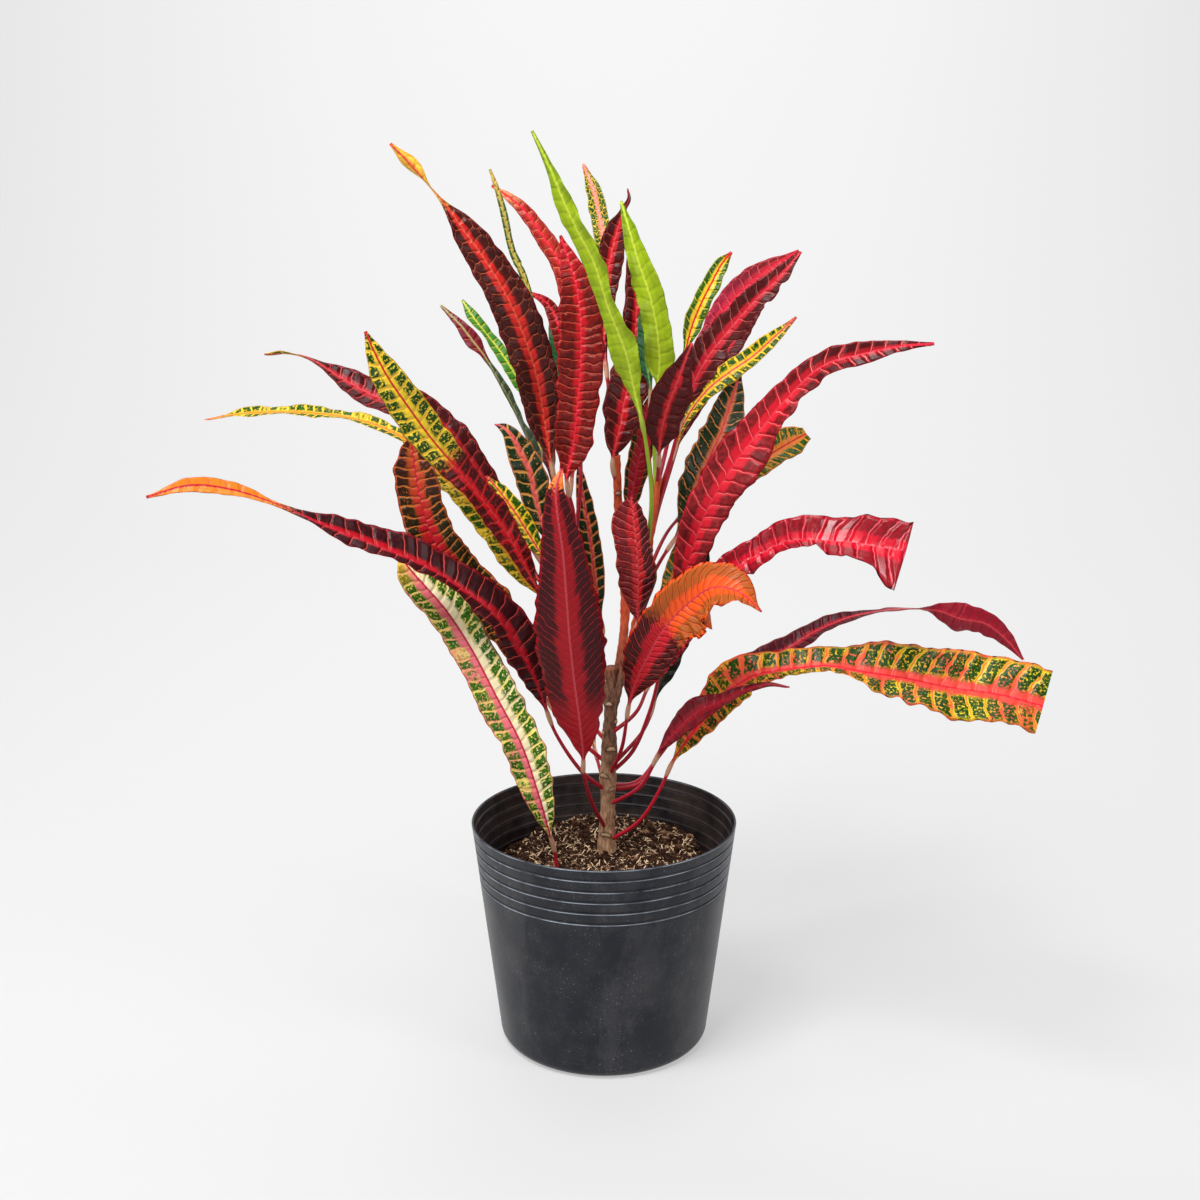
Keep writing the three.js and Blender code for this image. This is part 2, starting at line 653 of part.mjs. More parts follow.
// A leaf from its petiole to its tip: six points to a ring, round on the petiole and a
// shallow V with waved edges on the blade
function leaf({ points }, grow = 0) {
  const curve = curveThrough(points);
  const widths = points.map((p) => p[3]);
  const turns = points.map((p) => p[4]);
  const ribs = points.map((p) => p[5] ?? 0);
  const foldAngle = THREE.MathUtils.degToRad(FOLD_DEG);
  const rings = [];
  let run = 0;
  let last = curve.getPoint(0);
  for (const t of leafStations(curve, widths)) {
    const centre = curve.getPoint(t);
    run += centre.distanceTo(last);
    last = centre;
    const forward = curve.getTangent(t);
    const front = TOWARDS_FRONT.clone();
    front.addScaledVector(forward, -front.dot(forward)).normalize();
    const side = new THREE.Vector3().crossVectors(forward, front);
    const turn = THREE.MathUtils.degToRad(along(turns, t));
    const up = front.clone().multiplyScalar(Math.cos(turn)).addScaledVector(side, Math.sin(turn));
    const across = side.clone().multiplyScalar(Math.cos(turn)).addScaledVector(front, -Math.sin(turn));
    const wide = Math.max(along(widths, t), 0);
    const blade = THREE.MathUtils.smoothstep(wide, BLADE_FROM, BLADE_FULL);
    const flat = t > 0.5 ? 1 : blade;
    const slim = THREE.MathUtils.lerp(1, 0.5, t);
    const half = Math.max(wide, THREE.MathUtils.lerp(PETIOLE_R * HEX_WIDE, TIP_HALF, t)) + grow;
    const edge = THREE.MathUtils.lerp(PETIOLE_R / 2, BLADE_THICK / 2, flat) + grow;
    const middle = THREE.MathUtils.lerp(PETIOLE_R, MIDRIB_HALF, flat) * slim + grow;
    const rise = Math.sin(foldAngle) * half * blade;
    const reach = half * THREE.MathUtils.lerp(1, Math.cos(foldAngle), blade);
    const swing = WAVE_HEIGHT * blade * Math.min(wide / WAVE_FULL, 1);
    const lift = [-1, 1].map((v) => rise
      + swing * Math.sin((run / WAVE_LENGTH) * Math.PI * 2 + v * WAVE_SHIFT));
    const rib = along(ribs, t);
    const spot = (v, height) => centre.clone().addScaledVector(across, v * reach)
      .addScaledVector(up, height);
    rings.push([
      spot(-1, lift[0] + edge), spot(rib, middle), spot(1, lift[1] + edge),
      spot(1, lift[1] - edge), spot(rib, -middle), spot(-1, lift[0] - edge),
    ]);
  }
  return toSolid(loft(rings));
}

// Outer radius of the pot's straight wall at a height
function potRadius(z) {
  const foot = POT_BASE_R - 3 + POT_EDGE_R;
  return THREE.MathUtils.mapLinear(z, POT_EDGE_R, POT_H, foot, POT_RIM_R);
}

function pot() {
  const floorR = POT_BASE_R - 3;
  const outer = [[0, 0], [floorR, 0]];
  for (let i = 1; i <= POT_EDGE_STEPS; i++) {
    const a = (i / POT_EDGE_STEPS) * Math.PI / 2;
    outer.push([floorR + POT_EDGE_R * Math.sin(a), POT_EDGE_R * (1 - Math.cos(a))]);
  }
  // Each rib line is a shallow groove pressed into the wall
  for (let i = RIB_COUNT - 1; i >= 0; i--) {
    const z = RIB_TOP - i * RIB_STEP;
    outer.push([potRadius(z - RIB_HALF), z - RIB_HALF]);
    outer.push([potRadius(z) - RIB_RISE, z]);
    outer.push([potRadius(z + RIB_HALF), z + RIB_HALF]);
  }
  outer.push([POT_RIM_R, POT_H - RIM_ROUND], [POT_RIM_R - RIM_ROUND / 2, POT_H]);
  const ribFoot = RIB_TOP - RIB_COUNT * RIB_STEP;
  const inner = [
    [POT_RIM_R - POT_WALL, POT_H],
    [potRadius(RIB_TOP + RIB_HALF) - POT_WALL - RIB_RISE, RIB_TOP + RIB_HALF],
    [potRadius(ribFoot) - POT_WALL - RIB_RISE, ribFoot],
    [potRadius(POT_EDGE_R) - POT_WALL, POT_EDGE_R],
    [floorR + POT_EDGE_R / 2, POT_WALL + 1.5],
    [floorR, POT_WALL],
    [0, POT_WALL],
  ];
  const profile = [...outer, ...inner].map(([r, z]) => new THREE.Vector2(r, z));
  const shell = new THREE.LatheGeometry(profile, POT_SIDES);
  shell.rotateX(Math.PI / 2);
  let solid = toSolid(shell);
  for (let i = 0; i < DRAIN_HOLES; i++) {
    const a = (i / DRAIN_HOLES) * Math.PI * 2;
    const drill = new THREE.CylinderGeometry(DRAIN_R, DRAIN_R, POT_WALL * 4, DRAIN_SIDES);
    drill.rotateX(Math.PI / 2);
    drill.translate(DRAIN_CIRCLE_R * Math.cos(a), DRAIN_CIRCLE_R * Math.sin(a), 0);
    solid = solid.subtract(toSolid(drill));
  }
  return solid;
}

// Smooth lumps of the soil's top, from a few crossed waves
function soilLump(x, y) {
  return SOIL_LUMP * (Math.sin(x / 7.3 + 1.1) * Math.cos(y / 6.1)
    + 0.6 * Math.sin(x / 3.9 - y / 4.7) + 0.4 * Math.cos(x / 11 + y / 3.1));
}

function soilRing(r, height) {
  const ring = [];
  for (let k = 0; k < SOIL_SIDES; k++) {
    const a = (k / SOIL_SIDES) * Math.PI * 2;
    const x = r * Math.cos(a);
    const y = r * Math.sin(a);
    ring.push(new THREE.Vector3(x, y, height + (height > POT_EDGE_R * 2 ? soilLump(x, y) : 0)));
  }
  return ring;
}

// Rings from the pot's floor up its wall, in over the mix and up onto the root ball
function soil() {
  const wallRoom = POT_WALL + RIB_RISE + SEAT_GAP;
  const mixTop = SOIL_TOP - BALL_STEP;
  const rings = [
    soilRing(POT_BASE_R - 7, POT_WALL + SEAT_GAP),
    soilRing(potRadius(POT_EDGE_R) - wallRoom, POT_EDGE_R + 1),
    soilRing(potRadius(mixTop) - wallRoom, mixTop),
    soilRing(BALL_R + MIX_SHELF, mixTop),
    soilRing(BALL_R + BALL_SLOPE, mixTop),
  ];
  for (let i = BALL_RINGS; i > 0; i--) {
    rings.push(soilRing((i / BALL_RINGS) * BALL_R, SOIL_TOP));
  }
  rings.push(soilRing(1, SOIL_TOP));
  return toSolid(loft(rings));
}

function named(name, solid, colour, roughness) {
  const material = new THREE.MeshStandardMaterial({ color: colour, roughness, metalness: 0 });
  const mesh = new THREE.Mesh(toGeometry(solid), material);
  mesh.name = name;
  return mesh;
}

const croton = new THREE.Group();
croton.name = "potted_croton";

const stemsWithRoom = stems(SEAT_GAP);
const lowLeaf = LEAVES.find((entry) => entry.name === "leaf_low_left_variegated");
const soilWithHoles = largestPiece(soil().subtract(stemsWithRoom).subtract(leaf(lowLeaf, SEAT_GAP)));

croton.add(named("pot", pot(), "#2c2c30", 0.5));
croton.add(named("soil", soilWithHoles, "#3a2a1e", 0.95));
croton.add(named("trunk", stems(), "#8a6a4c", 0.8));
for (const entry of LEAVES) {
  const solid = largestPiece(leaf(entry).subtract(stemsWithRoom));
  croton.add(named(entry.name, solid, COLOURS[entry.kind], 0.4));
}

export default croton;
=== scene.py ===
"""A croton in a thin black nursery pot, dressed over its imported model.

Metres, +Z up, front towards -Y. The origin is the centre of the pot's flat base.
Lengths that are written in millimetres are turned to metres where a mesh is made.
"""

import math
import random

import bmesh
import bpy
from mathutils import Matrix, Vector, noise


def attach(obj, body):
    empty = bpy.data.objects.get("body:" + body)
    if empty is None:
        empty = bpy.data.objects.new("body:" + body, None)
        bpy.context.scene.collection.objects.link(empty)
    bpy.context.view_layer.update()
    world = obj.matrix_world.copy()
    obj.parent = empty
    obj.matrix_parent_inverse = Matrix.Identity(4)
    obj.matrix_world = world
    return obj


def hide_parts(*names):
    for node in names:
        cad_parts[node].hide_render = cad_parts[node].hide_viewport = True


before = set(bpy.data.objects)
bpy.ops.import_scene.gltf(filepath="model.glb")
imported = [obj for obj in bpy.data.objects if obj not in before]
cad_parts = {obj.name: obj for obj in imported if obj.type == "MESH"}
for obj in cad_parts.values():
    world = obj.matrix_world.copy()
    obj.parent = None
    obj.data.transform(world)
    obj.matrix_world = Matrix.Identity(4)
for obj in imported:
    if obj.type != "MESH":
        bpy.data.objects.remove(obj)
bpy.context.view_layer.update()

# Camera and studio
# A plain grey sweep of paper, floor and back wall in one, which glows a little like an overlit
# studio floor. A large lamp stands above and in front, one on each side, and one lights the wall
# behind. The camera stands 1.14 m away and looks down a little.
MM = 0.001
FLOOR_HALF_WIDTH = 6
FLOOR_FRONT = -4
FLOOR_BACK = 1.6
SWEEP_RADIUS = 2.4
WALL_TOP = 6
SWEEP_STEPS = 24
PAPER_COLOUR = "#989898"
PAPER_GLOW = 0.42
ROOM_COLOUR = "#ffffff"
ROOM_STRENGTH = 0.2
# Name, place, what it is turned to, size in metres and watts
LAMPS = [
    ("lamp_above", (-0.5, -0.75, 1.9), (0, 0, 0.3), 0.8, 38),
    ("lamp_left", (-1.6, -0.9, 0.9), (0, 0, 0.35), 0.8, 9),
    ("lamp_right", (1.5, -1.0, 1.0), (0, 0, 0.35), 0.7, 10),
    ("lamp_wall", (0, 1.3, 3.4), (0, 4, 1.6), 2.5, 140),
]
CAMERA_PLACE = (-0.003, -1.136, 0.625)
CAMERA_TILT = math.radians(76.1)
CAMERA_LENS = 48
CAMERA_SENSOR = 36
# The output of a Texture Coordinate node that gives the place on the object itself
OBJECT = 3


def linear(colour):
    """An sRGB hex colour as linear red, green, blue and alpha."""
    parts = [int(colour[i : i + 2], 16) / 255 for i in (1, 3, 5)]
    return [c / 12.92 if c <= 0.04045 else ((c + 0.055) / 1.055) ** 2.4 for c in parts] + [1]


def add(tree, kind, inputs=None, out=0, **settings):
    """Adds a shader node. inputs gives each socket its link, value or hex colour, and settings
    the node's own. Returns one of its outputs, or the node itself where it has none."""
    node = tree.nodes.new("ShaderNode" + kind)
    for name, value in settings.items():
        setattr(node, name, value)
    for socket, value in (inputs or {}).items():
        if isinstance(value, bpy.types.NodeSocket):
            tree.links.new(value, node.inputs[socket])
        else:
            is_colour = isinstance(value, str)
            node.inputs[socket].default_value = linear(value) if is_colour else value
    return node.outputs[out] if len(node.outputs) else node


def material(name):
    """A new material with an empty node tree."""
    skin = bpy.data.materials.new(name)
    skin.use_nodes = True
    skin.node_tree.nodes.clear()
    return skin


def mesh_object(bm, name, skin, smooth=True):
    """Closes a bmesh into an object with one material, linked into the scene."""
    mesh = bpy.data.meshes.new(name)
    for face in bm.faces:
        face.smooth = smooth
    bm.to_mesh(mesh)
    bm.free()
    mesh.materials.append(skin)
    piece = bpy.data.objects.new(name, mesh)
    bpy.context.scene.collection.objects.link(piece)
    return piece


camera = bpy.data.objects.new("camera", bpy.data.cameras.new("camera"))
camera.data.sensor_width = CAMERA_SENSOR
camera.data.lens = CAMERA_LENS
camera.location = CAMERA_PLACE
camera.rotation_euler = (CAMERA_TILT, 0, 0)
bpy.context.scene.collection.objects.link(camera)
bpy.context.scene.camera = camera
bpy.context.scene.view_settings.view_transform = "Standard"

paper = material("matt_paper")
tree = paper.node_tree
# Matt paper has no gloss to speak of, only a faint tooth that breaks the light up
place = add(tree, "TexCoord", out=OBJECT)
grain = add(tree, "TexNoise", {"Vector": place, "Scale": 400, "Detail": 3})
shade = add(tree, "MapRange", {"Value": grain, "To Min": 0.86, "To Max": 0.96})
shader = add(tree, "BsdfPrincipled", {
    "Base Color": PAPER_COLOUR, "Roughness": shade,
    "Emission Color": ROOM_COLOUR, "Emission Strength": PAPER_GLOW,
})
add(tree, "OutputMaterial", {"Surface": shader})

bm = bmesh.new()
sweep = [bm.verts.new((-FLOOR_HALF_WIDTH, FLOOR_FRONT, 0))]
for i in range(SWEEP_STEPS + 1):
    turn = i / SWEEP_STEPS * math.pi / 2
    sweep.append(bm.verts.new((
        -FLOOR_HALF_WIDTH,
        FLOOR_BACK + math.sin(turn) * SWEEP_RADIUS,
        SWEEP_RADIUS - math.cos(turn) * SWEEP_RADIUS,
    )))
sweep.append(bm.verts.new((-FLOOR_HALF_WIDTH, FLOOR_BACK + SWEEP_RADIUS, WALL_TOP)))
edges = [bm.edges.new(pair) for pair in zip(sweep, sweep[1:])]
made = bmesh.ops.extrude_edge_only(bm, edges=edges)["geom"]
far_edge = [v for v in made if isinstance(v, bmesh.types.BMVert)]
bmesh.ops.translate(bm, vec=(2 * FLOOR_HALF_WIDTH, 0, 0), verts=far_edge)
bmesh.ops.recalc_face_normals(bm, faces=bm.faces[:])
if bm.faces[0].normal.z < 0:
    bmesh.ops.reverse_faces(bm, faces=bm.faces[:])
floor = mesh_object(bm, "paper_sweep", paper)

world = bpy.data.worlds.new("room")
world.use_nodes = True
sky = world.node_tree.nodes["Background"].inputs
sky["Color"].default_value = linear(ROOM_COLOUR)
sky["Strength"].default_value = ROOM_STRENGTH
bpy.context.scene.world = world

for name, place, target, size, watts in LAMPS:
    light = bpy.data.lights.new(name, "AREA")
    light.size = size
    light.energy = watts
    lamp = bpy.data.objects.new(name, light)
    lamp.location = place
    lamp.rotation_euler = (Vector(target) - Vector(place)).to_track_quat("-Z", "Y").to_euler()
    bpy.context.scene.collection.objects.link(lamp)

# Nursery pot
# A thin round pot of black polypropylene, vacuum formed, with five pressed-in grooves under a
# rolled rim and drain holes in the base. It has gone a little out of round and gathered dust in
# use.
# A pale sheen is painted over the dust, and a bluish highlight under each groove.
POT_RIM_R = 100
POT_FOOT_R = 71
POT_EDGE_R = 9
POT_EDGE_STEPS = 8
POT_H = 174
POT_WALL = 1.5
POT_SPIN_STEPS = 176
WALL_FROM = 15
WALL_STEP = 8
GROOVE_TOP = 166
GROOVE_STEP = 8.7
GROOVES = 5
GROOVE_HALF = 1.1
GROOVE_DEPTH = 0.9
# Half widths from the middle of a groove, and shares of its depth
GROOVE_SHAPE = [(-1.5, 0), (-1, 0.06), (-0.6, 0.7), (0, 1), (0.6, 0.7), (1, 0.06), (1.5, 0)]
RIM_ROUND = 0.7
RIM_SOFT = 0.2
RIM_STRAIGHT = 2
OUT_OF_ROUND = 0.5
DRAIN_HOLES = 6
DRAIN_R = 5
DRAIN_CIRCLE_R = 52
DRILL_LENGTH = 10
POT_BLACK = "#1b1d24"
POT_WORN = "#2b303d"
# The colour of the dust, with a pale painted sheen in it
POT_DUST_AND_SHEEN = "#807e80"
# The colour of the highlight painted under each groove
POT_GROOVE_HIGHLIGHT = "#a9b3c0"
POT_SPLASH = "#5c4a40"
# Half width in mm of the highlight painted under each groove
GROOVE_HIGHLIGHT_HALF = 0.42
# A Mix node set to colours, whose factor and two colours are sockets 0, 6 and 7
COLOURS = {"out": 2, "data_type": "RGBA"}


def wall_radius(z):
    """The pot's outer radius at a height, from the top of its rounded foot to the rim."""
    foot = POT_FOOT_R + POT_EDGE_R
    return foot + (POT_RIM_R - foot) * (z - POT_EDGE_R) / (POT_H - POT_EDGE_R)


def spun(profile, scale, steps, close):
    """A closed body in a bmesh, turned about the upright axis from a profile of (radius, height).
    Vertices nearer to each other than close are joined."""
    bm = bmesh.new()
    corners = [bm.verts.new((r * scale, 0, z * scale)) for r, z in profile]
    edges = [bm.edges.new(pair) for pair in zip(corners, corners[1:])]
    bmesh.ops.spin(
        bm, geom=corners + edges, cent=(0, 0, 0), axis=(0, 0, 1), angle=2 * math.pi,
        steps=steps, use_merge=True,
    )
    bmesh.ops.remove_doubles(bm, verts=bm.verts[:], dist=close)
    bmesh.ops.recalc_face_normals(bm, faces=bm.faces[:])
    return bm


outer = [(0, 0), (POT_FOOT_R * 0.5, 0), (POT_FOOT_R, 0)]
for i in range(1, POT_EDGE_STEPS + 1):
    turn = i / POT_EDGE_STEPS * math.pi / 2
    level = POT_EDGE_R - math.cos(turn) * POT_EDGE_R
    outer.append((POT_FOOT_R + math.sin(turn) * POT_EDGE_R, level))
height = WALL_FROM
groove_bottom = GROOVE_TOP - (GROOVES - 1) * GROOVE_STEP
while height < groove_bottom - 2 * GROOVE_HALF:
    outer.append((wall_radius(height), height))
    height += WALL_STEP
inner_wall = [(r - POT_WALL, max(z, POT_WALL)) for r, z in outer[2:]]
inner_wall[0] = (POT_FOOT_R, POT_WALL)
for i in range(GROOVES):
    middle = groove_bottom + i * GROOVE_STEP
    for share, depth in GROOVE_SHAPE:
        z = middle + share * GROOVE_HALF
        r = wall_radius(z) - depth * GROOVE_DEPTH
        outer.append((r, z))
        inner_wall.append((r - POT_WALL, z))
below_rim = POT_H - RIM_STRAIGHT
inner_rim_r = POT_RIM_R - POT_WALL
outer += [
    (wall_radius(below_rim), below_rim), (POT_RIM_R, POT_H - RIM_ROUND),
    (POT_RIM_R - RIM_SOFT, POT_H - RIM_SOFT), (POT_RIM_R - POT_WALL / 2, POT_H),
    (inner_rim_r + RIM_SOFT, POT_H - RIM_SOFT), (inner_rim_r, POT_H - RIM_ROUND),
]
inner_wall.append((wall_radius(below_rim) - POT_WALL, below_rim))
profile = outer + inner_wall[::-1] + [(POT_FOOT_R * 0.5, POT_WALL), (0, POT_WALL)]

bm = spun(profile, MM, POT_SPIN_STEPS, 1e-6)
# Pressed in a little here and there, and most of all at the rim
for v in bm.verts:
    angle = math.atan2(v.co.y, v.co.x)
    soft = min(v.co.z / (POT_H * MM), 1) ** 2
    dent = -0.5 + 0.5 * (0.6 * math.sin(2 * angle + 0.7) + 0.4 * math.sin(5 * angle + 2 + 8 * soft))
    pull = 1 + soft * OUT_OF_ROUND * dent / POT_RIM_R
    v.co.x *= pull
    v.co.y *= pull

# Vacuum formed polypropylene is nearly black and evenly satin: it mirrors a bright room only as
# a broad soft sheen, bluish grey towards its sides, and every scuff and speck shows pale on it
pot_plastic = material("vacuum_formed_black_polypropylene")
tree = pot_plastic.node_tree
place = add(tree, "TexCoord", out=OBJECT)
height = add(tree, "SeparateXYZ", {0: place}, out=2)
# Dust lies in soft patches with runs drawn down the wall by drying water, and a pale sheen is
# painted into the same patches and runs. The handling scuffs are short fine arcs that run round it
patches = add(tree, "TexNoise", {"Vector": place, "Scale": 38, "Detail": 6, "Roughness": 0.62})
round_wall = add(tree, "Mapping", {"Vector": place, "Scale": (1, 1, 9)})
scuffs = add(tree, "TexNoise", {"Vector": round_wall, "Scale": 90, "Detail": 4, "Roughness": 0.7})
specks = add(tree, "TexNoise", {"Vector": place, "Scale": 700, "Detail": 3})
down_wall = add(tree, "Mapping", {"Vector": place, "Scale": (1, 1, 0.3)})
runs = add(tree, "TexNoise", {
    "Vector": down_wall, "Scale": 24, "Detail": 8, "Roughness": 0.66, "Distortion": 0.5,
})
dust_and_sheen_patches, dried_runs_and_sheen, scuffed, speckled = (
    add(tree, "MapRange", {"Value": texture, "From Min": low, "From Max": high})
    for texture, low, high in [
        (patches, 0.42, 0.75), (runs, 0.5, 0.6), (scuffs, 0.6, 0.72), (specks, 0.65, 0.7),
    ]
)
speckled = add(tree, "Math", {0: speckled, 1: dust_and_sheen_patches}, operation="MULTIPLY")
# A bluish grey highlight is painted along the lower edge of each groove, which stands out a little
low_edge = (groove_bottom - GROOVE_HALF * 1.2) * MM
above = add(tree, "Math", {0: height, 1: low_edge}, operation="SUBTRACT")
off_edge = add(tree, "Math", {0: above, 1: GROOVE_STEP * MM / 2}, operation="PINGPONG")
groove_highlight = add(tree, "MapRange", {
    "Value": off_edge, "From Min": GROOVE_HIGHLIGHT_HALF * MM, "From Max": GROOVE_HIGHLIGHT_HALF * MM * 0.3,
})
ringed = add(tree, "Math", {0: above, 1: -GROOVE_STEP * MM / 2}, operation="GREATER_THAN")
broken = add(tree, "MapRange", {
    "Value": patches, "From Min": 0.35, "From Max": 0.65, "To Max": 0.95,
})
for part in (ringed, broken):
    groove_highlight = add(tree, "Math", {0: groove_highlight, 1: part}, operation="MULTIPLY")
# The dust and the painted sheen are laid on together as one pale veil
dust_and_sheen = 0.0
for film, strength in [(dust_and_sheen_patches, 0.1), (dried_runs_and_sheen, 0.08), (speckled, 1.0)]:
    dust_and_sheen = add(tree, "Math", {0: film, 1: strength, 2: dust_and_sheen}, operation="MULTIPLY_ADD")
# Watering has splashed the inside of the wall with a film of the brown mix
flat_place = add(tree, "Mapping", {"Vector": place, "Scale": (1, 1, 0)})
radius = add(tree, "VectorMath", {0: flat_place}, out=1, operation="LENGTH")
wall_slope = (POT_RIM_R - wall_radius(POT_EDGE_R)) / (POT_H - POT_EDGE_R)
outside_r = add(tree, "Math", {
    0: height, 1: wall_slope, 2: wall_radius(0) * MM,
}, operation="MULTIPLY_ADD")
depth_in = add(tree, "Math", {0: outside_r, 1: radius}, operation="SUBTRACT")
inner = add(tree, "MapRange", {
    "Value": depth_in, "From Min": (POT_WALL - 0.07) * MM, "From Max": (POT_WALL - 0.02) * MM,
})
splash = add(tree, "MapRange", {"Value": patches, "From Min": 0.3, "From Max": 0.6, "To Max": 0.45})
splash = add(tree, "Math", {0: splash, 1: inner}, operation="MULTIPLY")
skin = POT_BLACK
for cover, colour in [
    (scuffed, POT_WORN), (groove_highlight, POT_GROOVE_HIGHLIGHT), (dust_and_sheen, POT_DUST_AND_SHEEN), (splash, POT_SPLASH),
]:
    skin = add(tree, "Mix", {0: cover, 6: skin, 7: colour}, **COLOURS)
rough = add(tree, "MapRange", {"Value": runs, "To Min": 0.18, "To Max": 0.5})
relief = add(tree, "Math", {0: scuffs, 1: 0.5, 2: specks}, operation="MULTIPLY_ADD")
bump = add(tree, "Bump", {"Strength": 0.35, "Distance": 0.0003, "Height": relief})
shader = add(tree, "BsdfPrincipled", {
    "Base Color": skin, "Roughness": rough, "IOR": 1.45, "Specular IOR Level": 0.27,
    "Normal": bump,
})
add(tree, "OutputMaterial", {"Surface": shader})

pot = mesh_object(bm, "nursery_pot", pot_plastic)
bm = bmesh.new()
for i in range(DRAIN_HOLES):
    turn = i / DRAIN_HOLES * 2 * math.pi
    hole = bmesh.ops.create_cone(
        bm, cap_ends=True, segments=32, radius1=DRAIN_R * MM, radius2=DRAIN_R * MM,
        depth=DRILL_LENGTH * MM,
    )["verts"]
    centre = (math.cos(turn) * DRAIN_CIRCLE_R * MM, math.sin(turn) * DRAIN_CIRCLE_R * MM, 0)
    bmesh.ops.translate(bm, vec=centre, verts=hole)
drill = mesh_object(bm, "drain_drill", pot_plastic)
cut = pot.modifiers.new("drain_holes", "BOOLEAN")
cut.operation = "DIFFERENCE"
cut.object = drill
graph = bpy.context.evaluated_depsgraph_get()
pot.data = bpy.data.meshes.new_from_object(pot.evaluated_get(graph))
pot.modifiers.clear()
bpy.data.objects.remove(drill)
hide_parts("pot")
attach(pot, "root")

# Potting mix
# A root ball of dark peat and coir that stands a little above the looser mix along the wall.
# The surface is a closed body of crumbs, and tan coir fibres and chips lie pressed into it.
SOIL_TOP = 148
BALL_TOP = 146.5
BALL_R = 71
BALL_X = 4
MIX_TOP = 128
SOIL_FLOOR = 2.5
SOIL_MIDDLE = 60
SOIL_FOOT = 11
FOOT_GAP = 3
FLOOR_GAP = 4
SOIL_LUMP = 1.12
SOIL_SLOPE = 0.03
SOIL_RINGS = 80
SOIL_SPIN_STEPS = 220
SOIL_MARGIN = 0.8
CLOD = 2.4
CRUMB = 1.1
BALL_SHOULDER = 5
BALL_UNEVEN = 2.2
COIR_SEED = 7
FIBRE_SIDES = 4
FIBRE_STEPS = 4
FIBRE_DOUBLINGS = 12
FIBRES_BY_WALL = 0.12
FIBRE_HALF_LENGTH = (1.6, 3.4)
FIBRE_THICK = (0.2, 0.6)
SHORT_FIBRES = 0.7
CRUMB_DOUBLINGS = 10
CRUMB_MM = 3.2
LOOSE_MIX_R = (BALL_R + 4, 88)
LITTER_R = 90
# The near black shade painted into the gaps between crumbs
PEAT_GAP_SHADE = "#1a0c06"
PEAT_DAMP = "#341c10"
PEAT = "#472a1e"
COIR = "#9a6a48"
COIR_PALE = "#f6d8b0"


def smooth_step(value, low, high):
    """0 up to the low value and 1 from the high one, with a soft rise between them."""
    f = min(max((value - low) / (high - low), 0), 1)
    return f * f * (3 - 2 * f)


def soil_height(x, y):
    """The height of the mix in mm at a place on it: the ball, its shoulder, lumps and crumbs."""
    edge = BALL_R + BALL_UNEVEN * noise.noise(Vector((x, y, 0)) / 18)
    ball = smooth_step(edge + 3 - math.hypot(x - BALL_X, y), 0, BALL_SHOULDER)
    lump = math.sin(x / 7.3 + 1.1) * math.cos(y / 6.1) + 0.6 * math.sin(x / 3.9 - y / 4.7)
    lump += 0.4 * math.cos(x / 11 + y / 3.1)
    clod = noise.noise(Vector((x, y, 7)) / 6.5)
    crumb = noise.noise(Vector((x, y, 4)) / 2.6) + 0.6 * noise.noise(Vector((x, y, 9)) / 1.2)
    top = MIX_TOP + (BALL_TOP - MIX_TOP) * ball
    return top + SOIL_SLOPE * y * ball + lump * SOIL_LUMP + clod * CLOD + crumb * CRUMB


wall = wall_radius(MIX_TOP) - POT_WALL - SOIL_MARGIN
profile = [(wall * i / SOIL_RINGS, SOIL_TOP) for i in range(SOIL_RINGS + 1)]
profile += [
    (wall_radius(SOIL_MIDDLE) - POT_WALL - SOIL_MARGIN, SOIL_MIDDLE),
    (wall_radius(POT_EDGE_R) - FOOT_GAP, SOIL_FOOT), (POT_FOOT_R - FLOOR_GAP, SOIL_FLOOR),
    (0, SOIL_FLOOR),
]
bm = spun(profile, 1, SOIL_SPIN_STEPS, 1e-4)
for v in bm.verts:
    if v.co.z > MIX_TOP:
        v.co.z = soil_height(v.co.x, v.co.y)
bmesh.ops.scale(bm, vec=(MM, MM, MM), verts=bm.verts[:])

# Damp peat is quite matt and its crumbs are warm brown, with shade painted near black into the gaps
# between them
peat = material("damp_peat_and_coir_mix")
tree = peat.node_tree
place = add(tree, "TexCoord", out=OBJECT)
# Crumbs of 2 to 3 mm and the fine coir dust among them
crumbs = add(tree, "TexVoronoi", {"Vector": place, "Scale": 330, "Randomness": 1})
dust = add(tree, "TexNoise", {"Vector": place, "Scale": 700, "Detail": 5, "Roughness": 0.7})
pale = add(tree, "MapRange", {"Value": dust, "From Min": 0.54, "From Max": 0.68})
# Painted shade, near black, where the crumbs meet
dark = add(tree, "MapRange", {"Value": crumbs, "From Min": 0.12, "From Max": 0.55})
earth = PEAT
for cover, colour in [(dark, PEAT_GAP_SHADE), (pale, COIR)]:
    earth = add(tree, "Mix", {0: cover, 6: earth, 7: colour}, **COLOURS)
relief = add(tree, "Math", {0: dust, 1: crumbs}, operation="SUBTRACT")
bump = add(tree, "Bump", {"Strength": 0.9, "Distance": 0.0022, "Height": relief})
shader = add(tree, "BsdfPrincipled", {
    "Base Color": earth, "Roughness": 0.92, "Specular IOR Level": 0.2, "Normal": bump,
})
add(tree, "OutputMaterial", {"Surface": shader})
soil = mesh_object(bm, "potting_mix", peat)
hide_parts("soil")
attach(soil, "root")


